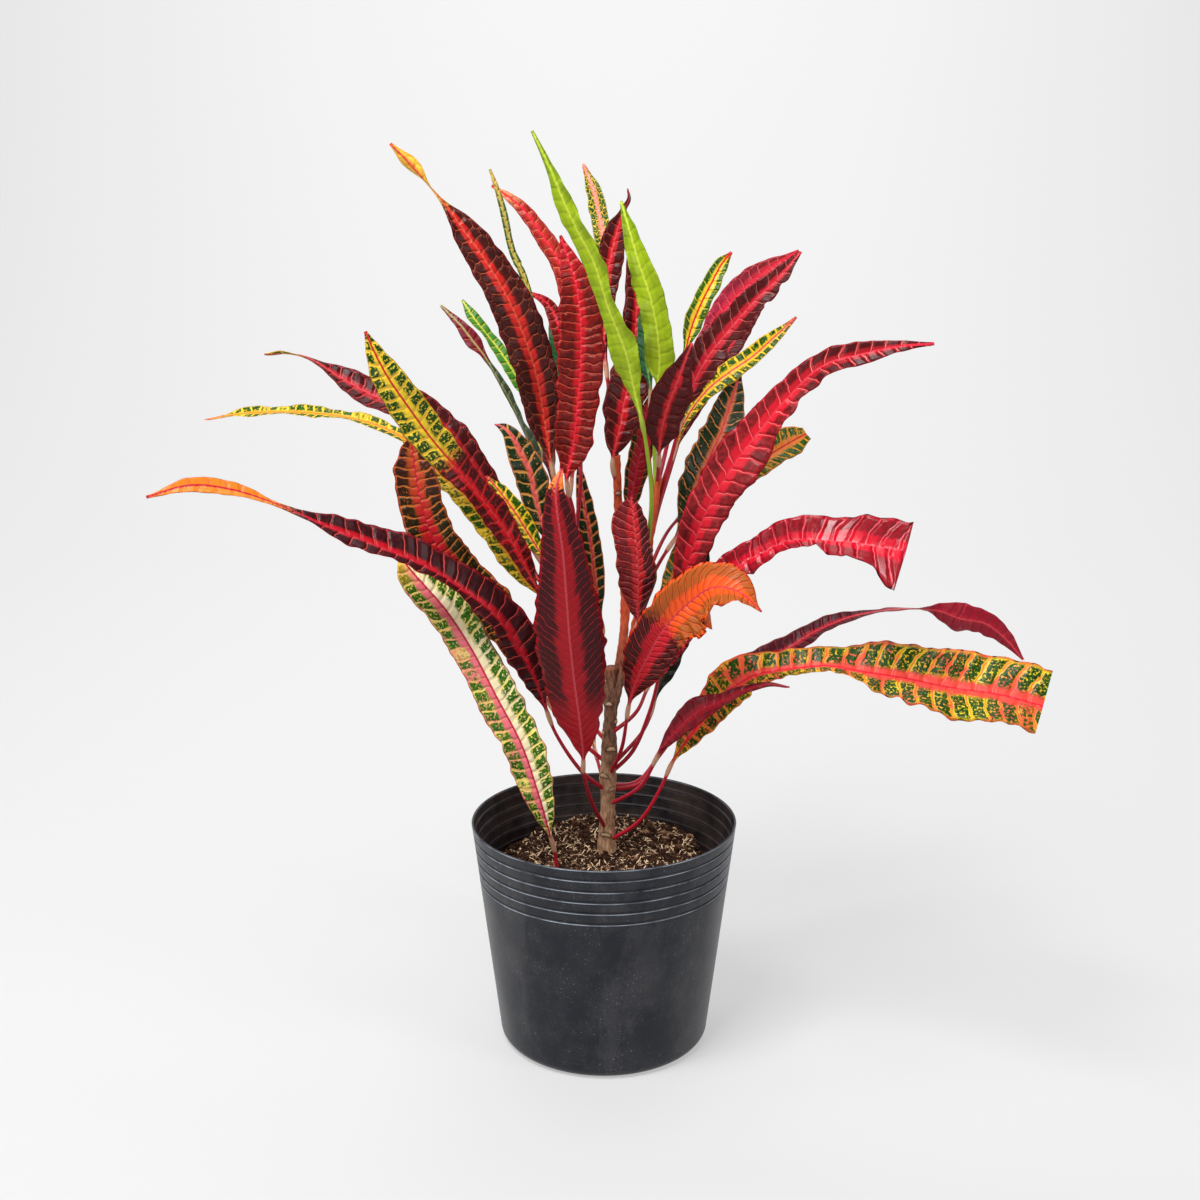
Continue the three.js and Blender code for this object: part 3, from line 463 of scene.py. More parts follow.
def tube(bm, sides, levels):
    """A closed tube in a bmesh. Returns its rings, each the list of its vertices in turn."""
    made = bmesh.ops.create_cone(
        bm, cap_ends=True, segments=sides, radius1=1, radius2=1, depth=1
    )["verts"]
    uprights = [
        e for e in {e for v in made for e in v.link_edges}
        if abs(e.verts[0].co.z - e.verts[1].co.z) > 0.5
    ]
    cut = bmesh.ops.subdivide_edges(bm, edges=uprights, cuts=levels - 2, use_grid_fill=True)
    between = [g for g in cut["geom_inner"] if isinstance(g, bmesh.types.BMVert)]
    rings = [[None] * sides for _ in range(levels)]
    for v in {w for v in between for e in v.link_edges for w in e.verts}:
        turn = round(math.atan2(v.co.y, v.co.x) / (2 * math.pi) * sides) % sides
        rings[round((v.co.z + 0.5) * (levels - 1))][turn] = v
    return rings


def scatter(bm, doublings):
    """Doubles all of a bmesh so many times. Each vertex keeps the number of its copy."""
    copy = bm.verts.layers.int.new("copy")
    for i in range(doublings):
        made = bmesh.ops.duplicate(bm, geom=bm.verts[:] + bm.edges[:] + bm.faces[:])["geom"]
        for v in made:
            if isinstance(v, bmesh.types.BMVert):
                v[copy] += 2**i
    return copy


dice = random.Random(COIR_SEED)
fibre_facts = []
for _ in range(2**FIBRE_DOUBLINGS):
    turn = dice.uniform(0, 2 * math.pi)
    reach = (BALL_R + 1) * math.sqrt(dice.random())
    if dice.random() < FIBRES_BY_WALL:
        reach = dice.uniform(*LOOSE_MIX_R)
    heading = Vector((dice.uniform(-1, 1), dice.uniform(-1, 1), 0)).normalized()
    fibre_facts.append((
        Vector((math.cos(turn) * reach, math.sin(turn) * reach, 0)), heading,
        Vector((-heading.y, heading.x, 0)), dice.uniform(-0.25, 0.25), dice.uniform(-0.3, 0.45),
        dice.uniform(*FIBRE_HALF_LENGTH) * (1 if dice.random() < SHORT_FIBRES else 2),
        dice.uniform(*FIBRE_THICK), dice.random(),
    ))
bm = bmesh.new()
tube(bm, FIBRE_SIDES, FIBRE_STEPS)
tone = bm.verts.layers.float.new("tone")
copy = scatter(bm, FIBRE_DOUBLINGS)
for v in bm.verts:
    foot, heading, sideways, bow, tilt, length, thick, shade = fibre_facts[v[copy]]
    share = v.co.z
    slim = thick * (1 - abs(share) ** 2)
    centre = foot + heading * share * length + sideways * (bow * share * share * length)
    centre.z = soil_height(centre.x, centre.y) + 0.15 + tilt * (share + 0.5) * length
    v.co = (centre + (sideways * v.co.x + Vector((0, 0, v.co.y * 0.5))) * slim) * MM
    v[tone] = shade
fibre_mesh = bpy.data.meshes.new("fibres")
bm.to_mesh(fibre_mesh)
bm.free()

crumb_facts = []
for _ in range(2**CRUMB_DOUBLINGS):
    turn = dice.uniform(0, 2 * math.pi)
    reach = LITTER_R * math.sqrt(dice.random())
    size = dice.uniform(0.45, 1) ** 2 * CRUMB_MM
    x, y = math.cos(turn) * reach, math.sin(turn) * reach
    crumb_facts.append((
        Vector((x, y, soil_height(x, y) + size * 0.25)),
        [size * dice.uniform(0.6, 1.2) for _ in range(3)], dice.uniform(-0.6, 0.5),
    ))
bm = bmesh.new()
bmesh.ops.create_icosphere(bm, subdivisions=1, radius=1)
tone = bm.verts.layers.float.new("tone")
copy = scatter(bm, CRUMB_DOUBLINGS)
for v in bm.verts:
    centre, sizes, shade = crumb_facts[v[copy]]
    chip = dice.uniform(0.8, 1.15)
    v.co = (centre + Vector(a * b * chip for a, b in zip(v.co, sizes))) * MM
    v[tone] = shade
bm.from_mesh(fibre_mesh)
bpy.data.meshes.remove(fibre_mesh)

# Dry coir is matt straw, paler than the mix that it lies on, and each fibre has its own shade
coir = material("dry_coir_fibre")
tree = coir.node_tree
place = add(tree, "TexCoord", out=OBJECT)
each = add(tree, "Attribute", out=2, attribute_name="tone")
grain = add(tree, "TexNoise", {"Vector": place, "Scale": 1300, "Detail": 2})
pale = add(tree, "Math", {0: grain, 1: 0.6, 2: each}, operation="MULTIPLY_ADD")
pale = add(tree, "MapRange", {"Value": pale, "From Min": 0.7, "From Max": 1.15})
straw = add(tree, "Mix", {0: pale, 6: COIR, 7: COIR_PALE}, **COLOURS)
damp = add(tree, "MapRange", {"Value": each, "From Min": 0.25, "From Max": 0.6})
straw = add(tree, "Mix", {0: damp, 6: PEAT_DAMP, 7: straw}, **COLOURS)
bump = add(tree, "Bump", {"Strength": 0.5, "Distance": 0.0003, "Height": grain})
shader = add(tree, "BsdfPrincipled", {
    "Base Color": straw, "Roughness": 0.85, "Specular IOR Level": 0.2, "Normal": bump,
})
add(tree, "OutputMaterial", {"Surface": shader})
fibres = mesh_object(bm, "coir_fibres", coir, smooth=False)
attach(fibres, "root")

# Trunk and shoots
# A short woody trunk with the scars of old leaves, pruned off at 293 mm into a knobbly stub,
# and the three shoots that grew on below the cut, which are still red. Points are in mm, each
# with the stem's radius.
STEM_SIDES = 28
STEM_STEP = 1.6
CURVE_STEPS = 24
CURVE_AHEAD = 1e-3
TRUNK = [
    (2, 0, 60, 5), (2, 0, 120, 7), (2, 0, 140, 7.6), (2, 0, 156, 6.6), (3, 0, 180, 5.6),
    (3, 0, 196, 5.5), (3, 0, 206, 6.6), (3, 0, 216, 5.4), (4, 0, 225, 6.3), (4, 0, 240, 5.2),
    (5, 0, 258, 4.8), (5, 0, 272, 5.6), (5, 0, 284, 5.0), (5, 0, 293, 5.4),
]
SHOOTS = [
    [(4, 0, 257, 3), (-1, 3, 280, 3.4), (-6, 6, 305, 3.2), (-11, 9, 332, 3.1), (-16, 11, 360, 2.9),
     (-21, 13, 389, 2.6)],
    [(5, 1, 262, 3), (10, 5, 285, 3.4), (15, 11, 320, 3.2), (15, 12, 352, 3.3), (12, 12, 386, 3.0),
     (10, 11, 418, 3.0), (9, 9, 449, 2.6)],
    [(5, -1, 250, 2.6), (12, -4, 282, 2.8), (23, -8, 329, 2.7), (29, -10, 365, 2.7),
     (34, -11, 398, 2.4), (37, -12, 424, 2.5), (39, -12, 438, 2.2)],
]
# Old leaf scars: stem (0 is the trunk), height in mm, turn in degrees from the front, width in mm
SCARS = [
    (0, 163, -10, 3.4), (0, 176, 95, 3.0), (0, 188, -120, 3.0), (0, 199, 35, 2.8),
    (0, 210, -35, 3.2), (0, 219, 150, 2.8), (0, 231, 12, 3.4), (0, 243, -70, 2.6),
    (0, 252, 60, 2.8), (0, 266, -15, 2.6), (0, 276, 120, 2.4), (0, 284, -60, 2.4),
    (2, 422, 5, 1.9), (2, 398, 160, 1.8), (3, 352, -20, 1.8), (3, 384, 100, 1.7),
]
SCAR_RISE = 0.9
SCAR_ARCH = 0.12
SCAR_HALF_HEIGHT = 1.5
RING_STEP = 9
RING_RISE = 0.22
RIDGE_RISE = 0.32
SWELL_RISE = 0.7
KNOBS_FROM = 283
KNOB_RISE = 1.6
BARK_PALE = "#d6ac84"
BARK = "#8c5e42"
BARK_DARK = "#42281a"
SHOOT_RED = "#bc3618"
SHOOT_ORANGE = "#d8602e"
SCAR_COLOUR = "#d2ac86"


def hermite(first, second, slope0, slope1, f):
    """A smooth step from one value, or point, to the next, with the slope at each end."""
    f2 = f * f
    f3 = f2 * f
    return (first * (2 * f3 - 3 * f2 + 1) + slope0 * (f3 - 2 * f2 + f)
            + second * (3 * f2 - 2 * f3) + slope1 * (f3 - f2))


def along(values, t):
    """A value given at each point of a curve, followed smoothly between them."""
    at = t * (len(values) - 1)
    i = min(int(at), len(values) - 2)
    before = values[max(i - 1, 0)]
    after = values[min(i + 2, len(values) - 1)]
    slopes = (values[i + 1] - before) / 2, (after - values[i]) / 2
    return hermite(values[i], values[i + 1], *slopes, at - i)


def curve_point(points, t):
    """A point of the centripetal Catmull-Rom curve through the points, which makes no loops."""
    at = t * (len(points) - 1)
    i = min(int(at), len(points) - 2)
    first, second = points[i], points[i + 1]
    before = points[i - 1] if i > 0 else first * 2 - second
    after = points[i + 2] if i + 2 < len(points) else second * 2 - first
    gap0, gap1, gap2 = (
        (b - a).length ** 0.5 for a, b in ((before, first), (first, second), (second, after))
    )
    slope0 = (first - before) / gap0 - (second - before) / (gap0 + gap1) + (second - first) / gap1
    slope1 = (second - first) / gap1 - (after - first) / (gap1 + gap2) + (after - second) / gap2
    return hermite(first, second, slope0 * gap1, slope1 * gap1, at - i)


def spine(points, step):
    """Evenly spaced places along a curve: its share, length so far, point and direction."""
    fine = CURVE_STEPS * len(points)
    walk = [curve_point(points, i / fine) for i in range(fine + 1)]
    runs = [0.0]
    for a, b in zip(walk, walk[1:]):
        runs.append(runs[-1] + (b - a).length)
    count = max(int(runs[-1] / step), 4)
    places = []
    i = 0
    for k in range(count + 1):
        run = runs[-1] * k / count
        while i < fine - 1 and runs[i + 1] < run:
            i += 1
        t = (i + (run - runs[i]) / (runs[i + 1] - runs[i])) / fine
        t = min(max(t, 0), 1)
        ahead = curve_point(points, min(t + CURVE_AHEAD, 1))
        ahead -= curve_point(points, max(t - CURVE_AHEAD, 0))
        places.append((t, run, curve_point(points, t), ahead.normalized()))
    return places


bm = bmesh.new()
scarred = bm.verts.layers.float.new("scar")
for number, points in enumerate([TRUNK] + SHOOTS):
    places = spine([Vector(p[:3]) for p in points], STEM_STEP)
    radii = [p[3] for p in points]
    rings = tube(bm, STEM_SIDES, len(places))
    for ring, (t, run, centre, forward) in zip(rings, places):
        side = (Vector((1, 0, 0)) - forward * forward.x).normalized()
        front = forward.cross(side)
        # A shoot keeps the faint rings that its fallen leaves left
        ring_wave = max(math.cos(run / RING_STEP * 2 * math.pi), 0) ** 6
        knot = 0 if number == 0 else RING_RISE * ring_wave
        for k, v in enumerate(ring):
            turn = k / STEM_SIDES * 2 * math.pi
            out = side * math.cos(turn) + front * math.sin(turn)
            ridge = noise.noise(Vector((out.x * 3, out.y * 3, centre.z / 9 + number * 20)))
            mark = 0
            for stem, height, from_front, width in SCARS:
                if stem != number:
                    continue
                heading = math.radians(from_front)
                off = out.angle(Vector((math.sin(heading), -math.cos(heading), 0))) * radii[0]
                bow = (centre.z - height + SCAR_ARCH * off * off) / SCAR_HALF_HEIGHT
                mark = max(mark, math.exp(-((off / width) ** 4) - bow**4))
            if number == 0 and centre.z > KNOBS_FROM:
                ridge += KNOB_RISE * noise.noise(out * 2.2 + Vector((0, 0, centre.z / 4)))
            swell = noise.noise(Vector((out.x, out.y, centre.z / 5 + number * 9)))
            r = along(radii, t) + ridge * RIDGE_RISE + swell * SWELL_RISE
            v.co = (centre + out * (r + mark * SCAR_RISE + knot)) * MM
            v[scarred] = mark
bmesh.ops.recalc_face_normals(bm, faces=bm.faces[:])

# Young bark is matt and tan, finely ridged along the stem and pricked with small pale pores
bark = material("young_croton_bark")
tree = bark.node_tree
place = add(tree, "TexCoord", out=OBJECT)
height = add(tree, "SeparateXYZ", {0: place}, out=2)
# Bark is drawn out along the stem, so its grain is four times as long as it is wide
upright = add(tree, "Mapping", {"Vector": place, "Scale": (1, 1, 0.25)})
grain = add(tree, "TexNoise", {"Vector": upright, "Scale": 650, "Detail": 6, "Roughness": 0.65})
grain = add(tree, "MapRange", {"Value": grain, "From Min": 0.36, "From Max": 0.64})
patches = add(tree, "TexNoise", {"Vector": place, "Scale": 95, "Detail": 3})
pores = add(tree, "TexVoronoi", {"Vector": place, "Scale": 520})
# The bark is darker all over from about 200 mm up the trunk, and in soft patches below that
darker_up_trunk = add(tree, "MapRange", {"Value": height, "From Min": 0.2, "From Max": 0.235})
darker_up_trunk = add(tree, "Math", {0: patches, 1: 0.5, 2: darker_up_trunk}, operation="MULTIPLY_ADD")
darker_up_trunk = add(tree, "MapRange", {"Value": darker_up_trunk, "From Min": 0.2, "From Max": 1.15})
tan, dusk, red = (
    add(tree, "Mix", {0: grain, 6: low, 7: high}, **COLOURS)
    for low, high in [(BARK, BARK_PALE), (BARK_DARK, BARK), (SHOOT_RED, SHOOT_ORANGE)]
)
# The trunk's bark gives way to the shoots' red skin, with orange where the grain is open
scar = add(tree, "Attribute", out=2, attribute_name="scar")
green_wood, pore, rim, healed = (
    add(tree, "MapRange", {"Value": value, "From Min": low, "From Max": high, "To Max": full})
    for value, low, high, full in [
        (height, 0.285, 0.33, 1), (pores, 0.14, 0.06, 0.5), (scar, 0.02, 0.25, 0.75),
        (scar, 0.45, 0.7, 0.8),
    ]
)
skin = tan
for cover, colour in [
    (darker_up_trunk, dusk), (pore, BARK_PALE), (green_wood, red), (rim, BARK_DARK), (healed, SCAR_COLOUR),
]:
    skin = add(tree, "Mix", {0: cover, 6: skin, 7: colour}, **COLOURS)
relief = add(tree, "Math", {0: grain, 1: pore}, operation="ADD")
bump = add(tree, "Bump", {"Strength": 0.7, "Distance": 0.0005, "Height": relief})
shader = add(tree, "BsdfPrincipled", {"Base Color": skin, "Roughness": 0.78, "Normal": bump})
add(tree, "OutputMaterial", {"Surface": shader})
stems = mesh_object(bm, "trunk_and_shoots", bark)
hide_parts("trunk")
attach(stems, "root")

# Maroon leaves
# A croton leaf is a long leathery blade on a round petiole, with a swollen tan joint where they
# meet. Its upper face is glossy, quilted between pinnate veins that fork and join short of the
# margin. On these leaves the panels between the veins are dark maroon and the midrib band red.
# The skin is waxy: lamps lie on it in broken streaks, over a maroon nearly black in its folds.
BLADE_SIDES = 32
BLADE_STEP_MM = 2.2
# What each vertex of a leaf says to its finish: its place on the blade in mm with the leaf's seed,
# its shares of the length and the half width with its side, and the half width with how much of
# the petiole has turned to blade
BLADE_FACTS = ("blade_place", "blade_share", "blade_size")
BLADE_FROM = 2.5
PETIOLE_TO_BLADE = (1, 6)
LEAST_HALF = (1.5, 0.6)
RUFFLE_ENDS = 0.08
TIP_LENGTH = 4
PETIOLE_R = 1.6
JOINT_LENGTH = 13
JOINT_SWELL = 0.5
BLADE_HALF_THICK = 0.3
RIB_UNDER = 0.75
RIB_OVER = 0.15
RIB_WIDTH = 1.5
FOLD_ANGLE = math.radians(16)
FOLD_REACH = math.cos(FOLD_ANGLE)
WAVE_HEIGHT = 2
WAVE_FULL_WIDTH = 12
WAVE_LENGTH = 52
WAVE_SHIFT = 0.9
RIPPLE_HEIGHT = 0.45
RIPPLE_LENGTH = 17
EDGE_UNEVEN = 0.16
# A blade with no turn faces this way, as nearly as its midrib lets it
TOWARDS_FRONT = Vector((0, -1, 0.25)).normalized()


def leaf_mesh(points, seed, bites=(), ruffle=None):
    """One leaf as a closed skin that goes from a round petiole to a flat blade. points are the
    midrib's (x, y, z, half width, turn, midrib offset) in mm, and bites the changes to its
    margin: (share of the length, side, share of the half width, half length in mm).
    ruffle is (side, height in mm, wave length in mm, from share, to share). What is left off at
    the end of a point is 0."""
    places = spine([Vector(p[:3]) for p in points], BLADE_STEP_MM)
    widths, turns, offsets = ([(p + (0, 0, 0))[i] for p in points] for i in (3, 4, 5))
    full = places[-1][1]
    start = next(run for t, run, _, _ in places if along(widths, t) > BLADE_FROM)
    bm = bmesh.new()
    place, share, size = (bm.verts.layers.float_vector.new(name) for name in BLADE_FACTS)
    rings = tube(bm, BLADE_SIDES, len(places))
    for ring, (t, run, centre, forward) in zip(rings, places):
        front = (TOWARDS_FRONT - forward * TOWARDS_FRONT.dot(forward)).normalized()
        side = forward.cross(front)
        turn = math.radians(along(turns, t))
        up = front * math.cos(turn) + side * math.sin(turn)
        across = side * math.cos(turn) - front * math.sin(turn)
        wide = max(along(widths, t), 0)
        rib = along(offsets, t)
        blade = smooth_step(wide, *PETIOLE_TO_BLADE)
        # In its farther half a leaf stays a flat blade, however narrow it gets
        flat = 1 if t > 0.5 else blade
        slim = 1 - 0.5 * t
        half = max(wide, LEAST_HALF[0] * (1 - t) + LEAST_HALF[1] * t)
        loose = blade * min(wide / WAVE_FULL_WIDTH, 1)
        joint = math.exp(-(((run - start + JOINT_LENGTH * 0.75) / (JOINT_LENGTH * 0.5)) ** 4))
        stalk = PETIOLE_R * (1 + JOINT_SWELL * joint) * (1 - 0.25 * smooth_step(run, 0, start))
        taper = min((full - run) / TIP_LENGTH, 1) ** 0.5
        for k, v in enumerate(ring):
            angle = k / BLADE_SIDES * 2 * math.pi
            fan = 1 - 2 * (angle if angle <= math.pi else 2 * math.pi - angle) / math.pi
            w = math.copysign(abs(fan) ** 1.25, fan)
            over = 0 if abs(math.sin(angle)) < 1e-6 else math.copysign(1, math.sin(angle))
            hand = math.copysign(1, w)
            edge = 1 + EDGE_UNEVEN * w * w * noise.noise(Vector((run / 9, hand * 5, seed)))
            for at, bite_side, depth, span in bites:
                if bite_side * hand > 0:
                    off = abs(run - (start + at * (full - start))) / span
                    edge -= depth * max(1 - off * off, 0) ** 0.7 * abs(w) ** 2
            lateral = (rib + w * (1 - rib * hand)) * half * edge
            reach = lateral * (1 + (FOLD_REACH - 1) * blade)
            wave = math.sin(run / WAVE_LENGTH * 2 * math.pi + WAVE_SHIFT * hand)
            ripple = math.sin(run / RIPPLE_LENGTH * 2 * math.pi + seed + hand * 1.7)
            lift = math.sin(FOLD_ANGLE) * half * blade * abs(w) ** 1.15
            lift += loose * (WAVE_HEIGHT * wave * abs(w) ** 1.5 + RIPPLE_HEIGHT * ripple * w * w)
            if ruffle and ruffle[0] * hand > 0:
                _, height, length, begin, end = ruffle
                ruffled = smooth_step(t, begin, begin + RUFFLE_ENDS)
                ruffled *= 1 - smooth_step(t, end - RUFFLE_ENDS, end)
                lift += ruffled * height * w * w * math.sin(run / length * 2 * math.pi)
            ridge = math.exp(-((lateral - rib * half) / RIB_WIDTH) ** 2) * slim
            ridge *= RIB_OVER if over > 0 else RIB_UNDER
            skin = BLADE_HALF_THICK * (1 - abs(w) ** 8) + ridge
            flat_place = across * reach + up * (lift + over * skin * taper)
            round_place = (across * math.cos(angle) + up * math.sin(angle)) * stalk * taper
            v.co = (centre + round_place.lerp(flat_place, flat)) * MM
            v[place] = (run - start, (w * half) if blade > 0 else 0, seed)
            v[share] = ((run - start) / (full - start), w, 0.5 - 0.5 * over)
            v[size] = (half, blade, 0)
    if bm.calc_volume(signed=True) < 0:
        bmesh.ops.reverse_faces(bm, faces=bm.faces[:])
    return bm


def leaf_skin(name, look, **changes):
    """The finish of a kind of leaf: a look, and what differs from it. A look gives the colours
    on the upper face (near the midrib, on the ground between panels, in the panels and on veins,
    midrib and margin), at the tip, on the underside and on the petiole, and how wide and broken
    the pattern is."""
    look = look | changes
    skin = material(name)
    tree = skin.node_tree
    place, share, size = (
        add(tree, "Attribute", out=1, attribute_name=fact) for fact in BLADE_FACTS
    )
    run, across, seed = (add(tree, "SeparateXYZ", {0: place}, out=i) for i in range(3))
    reach, edge, under = (add(tree, "SeparateXYZ", {0: share}, out=i) for i in range(3))
    half, bladed = (add(tree, "SeparateXYZ", {0: size}, out=i) for i in range(2))
    from_rib = add(tree, "Math", {0: across}, operation="ABSOLUTE")
    edge = add(tree, "Math", {0: edge}, operation="ABSOLUTE")
    below = add(tree, "Math", {0: under, 1: 0.5}, operation="GREATER_THAN")

    # Veins leave the midrib every few millimetres, lean to the tip and may fork into a net.
    # Beyond the fork they lie half a step over, and a ragged arc joins them to the first ones.
    pitch = look["pitch"]
    drift = add(tree, "TexNoise", {"Vector": place, "Scale": 0.1, "Detail": 2})
    drift = add(tree, "Math", {0: drift, 1: 6.5, 2: run}, operation="MULTIPLY_ADD")
    right = add(tree, "Math", {0: across, 1: 0.0}, operation="GREATER_THAN")
    drift = add(tree, "Math", {0: right, 1: pitch * 0.45, 2: drift}, operation="MULTIPLY_ADD")
    lean = add(tree, "Math", {0: from_rib, 1: -look["lean"], 2: drift}, operation="MULTIPLY_ADD")
    bend = add(tree, "Math", {0: from_rib, 1: from_rib}, operation="MULTIPLY")
    line = add(tree, "Math", {0: bend, 1: -0.012, 2: lean}, operation="MULTIPLY_ADD")
    number = add(tree, "Math", {0: line, 1: pitch}, operation="DIVIDE")
    number = add(tree, "Math", {0: number}, operation="FLOOR")
    key = add(tree, "CombineXYZ", {0: number, 1: right, 2: seed})
    chance = add(tree, "TexWhiteNoise", {"Vector": key})
    vein = add(tree, "Math", {0: line, 1: pitch / 2}, operation="PINGPONG")
    forked = add(tree, "Math", {0: pitch / 2, 1: vein}, operation="SUBTRACT")
    fray = add(tree, "TexNoise", {"Vector": place, "Scale": 0.55, "Detail": 3})
    fork = add(tree, "Math", {
        0: vein, 1: 0.4 / pitch, 2: look["fork"] - 0.2,
    }, operation="MULTIPLY_ADD")
    for stir, much in [(fray, 0.24), (chance, 0.1)]:
        fork = add(tree, "Math", {0: stir, 1: much, 2: fork}, operation="MULTIPLY_ADD")
    to_fork = add(tree, "Math", {0: edge, 1: fork}, operation="SUBTRACT")
    outside = add(tree, "Math", {0: to_fork, 1: 0.0}, operation="GREATER_THAN")
    to_fork = add(tree, "Math", {0: to_fork}, operation="ABSOLUTE")
    for scale in (1.7, half):
        to_fork = add(tree, "Math", {0: to_fork, 1: scale}, operation="MULTIPLY")
    to_vein = add(tree, "Mix", {0: outside, 2: vein, 3: forked})
    to_vein = add(tree, "Math", {0: to_vein, 1: to_fork, 2: 0.4}, operation="SMOOTH_MIN")
    on_vein = add(tree, "MapRange", {
        "Value": to_vein, "From Min": look["vein_width"], "From Max": look["vein_width"] * 0.1,
    }, interpolation_type="SMOOTHSTEP")
    fading = add(tree, "MapRange", {
        "Value": edge, "From Min": 0.5, "From Max": 1.0, "To Min": 1.0, "To Max": 0.35,
    })
    on_vein = add(tree, "Math", {0: on_vein, 1: fading}, operation="MULTIPLY")

    # Panels: one to each gap, with ragged edges, some of them missing or broken by mottling and
    # flecks. None lies near the midrib, at the foot of the leaf or on its margin.
    mottle = add(tree, "TexNoise", {
        "Vector": place, "Scale": look["mottle_scale"], "Detail": 4, "Roughness": 0.65,
    })
    ragged = add(tree, "Math", {0: mottle, 1: look["ragged"], 2: to_vein}, operation="MULTIPLY_ADD")
    panel = add(tree, "MapRange", {
        "Value": ragged, "From Min": look["gap"] + look["ragged"] * 0.5 - 0.15,
        "From Max": look["gap"] + look["ragged"] * 0.5 + 0.25,
    })
    wide = add(tree, "Math", {
        0: chance, 1: look["band_ragged"], 2: look["band"],
    }, operation="MULTIPLY_ADD")
    wide = add(tree, "Math", {0: fray, 1: 0.22, 2: wide}, operation="MULTIPLY_ADD")
    beyond = add(tree, "Math", {0: edge, 1: wide}, operation="SUBTRACT")
    beyond = add(tree, "MapRange", {"Value": beyond, "From Min": 0.04, "From Max": 0.18})
    kept = add(tree, "Math", {0: mottle, 1: 0.8, 2: chance}, operation="MULTIPLY_ADD")
    kept = add(tree, "MapRange", {
        "Value": kept, "From Min": 1.32 - look["cover"], "From Max": 1.45 - look["cover"],
    })
    inside = add(tree, "MapRange", {"Value": edge, "From Min": 0.97, "From Max": 0.88})
    flecks = add(tree, "TexNoise", {"Vector": place, "Scale": 0.5, "Detail": 3, "Roughness": 0.6})
    unflecked = add(tree, "MapRange", {
        "Value": flecks, "From Min": look["flecks"] - 0.03, "From Max": look["flecks"] + 0.04,
    })
    ripe = add(tree, "MapRange", {
        "Value": reach, "From Min": look["foot"] - 0.05, "From Max": look["foot"] + 0.05,
    })
    sided = add(tree, "MapRange", {"Value": right, "To Min": look["left_panels"]})
    for mask in (beyond, kept, inside, unflecked, ripe, sided):
        panel = add(tree, "Math", {0: panel, 1: mask}, operation="MULTIPLY")

    # How far the leaf has turned to the colours of its tip
    sway = add(tree, "Math", {0: fray, 1: 0.12, 2: reach}, operation="MULTIPLY_ADD")
    tipped = add(tree, "MapRange", {
        "Value": sway, "From Min": look["tip_from"] + 0.06, "From Max": look["tip_to"] + 0.06,
    })

    # Upper face
    clouds = add(tree, "TexNoise", {"Vector": place, "Scale": 0.06, "Detail": 3, "Roughness": 0.6})
    clouds = add(tree, "MapRange", {"Value": clouds, "From Min": 0.42, "From Max": 0.62})
    blushed = add(tree, "Math", {0: clouds, 1: look["blush"]}, operation="MULTIPLY")
    outward = add(tree, "MapRange", {"Value": beyond, "From Min": 0.0, "From Max": 0.8})
    outward = add(tree, "Math", {0: outward, 1: blushed}, operation="SUBTRACT", use_clamp=True)
    # Where a look gives it, the right of the midrib has its own colour; on the pink and yellow leaf
    # it is a pale cream that is partly the leaf's colour and partly a painted highlight
    near = add(tree, "Mix", {
        0: right, 6: look["near"], 7: look.get("near_right", look["near"]),
    }, **COLOURS)
    lit = add(tree, "MapRange", {"Value": mottle, "From Min": 0.38, "From Max": 0.62})
    face, dark = near, look["panel"]
    for cover, colour in [(outward, look["ground"]), (tipped, look["tip"])]:
        face = add(tree, "Mix", {0: cover, 6: face, 7: colour}, **COLOURS)
    for cover, colour in [(lit, look["panel_light"]), (tipped, look["tip_panel"])]:
        dark = add(tree, "Mix", {0: cover, 6: dark, 7: colour}, **COLOURS)
    veined = add(tree, "Math", {0: on_vein, 1: look["vein_strength"]}, operation="MULTIPLY")
    rim = add(tree, "MapRange", {
        "Value": edge, "From Min": 0.93, "From Max": 0.985, "To Max": 0.8,
    })
    for cover, colour in [(panel, dark), (veined, look["vein"]), (rim, look["margin"])]:
        face = add(tree, "Mix", {0: cover, 6: face, 7: colour}, **COLOURS)

    # Underside, duller and with the panels mostly faint
    faint = add(tree, "Math", {0: panel, 1: look["under_panels"]}, operation="MULTIPLY")
    pale = add(tree, "Math", {0: on_vein, 1: 0.35}, operation="MULTIPLY")
    turned = add(tree, "Mix", {0: panel, 6: look["tip"], 7: look["tip_panel"]}, **COLOURS)
    back = look["under"]
    for cover, colour in [
        (faint, look["under_panel"]), (pale, look["under_vein"]), (tipped, turned),
    ]:
        back = add(tree, "Mix", {0: cover, 6: back, 7: colour}, **COLOURS)

    # Midrib, and the petiole with its tan joint
    spread = add(tree, "MapRange", {"Value": from_rib, "From Min": 0.95, "From Max": 0.45})
    for cover, colour in [(below, back), (spread, look["rib"])]:
        face = add(tree, "Mix", {0: cover, 6: face, 7: colour}, **COLOURS)
    tan = add(tree, "MapRange", {"Value": run, "From Min": -17.0, "From Max": -14.5})
    tan_end = add(tree, "MapRange", {"Value": run, "From Min": 1.0, "From Max": -4.0})
    for limit in (tan_end, look["joint_strength"]):
        tan = add(tree, "Math", {0: tan, 1: limit}, operation="MULTIPLY")
    stalk = look["petiole"]
    for cover, colour in [(fray, look["petiole_light"]), (tan, look["joint"])]:
        stalk = add(tree, "Mix", {0: cover, 6: stalk, 7: colour}, **COLOURS)
    is_blade = add(tree, "MapRange", {"Value": bladed, "From Min": 0.02, "From Max": 0.3})
    near_tip = add(tree, "Math", {0: reach, 1: 0.5}, operation="GREATER_THAN")
    is_blade = add(tree, "Math", {0: is_blade, 1: near_tip}, operation="MAXIMUM")
    colour = add(tree, "Mix", {0: is_blade, 6: stalk, 7: face}, **COLOURS)

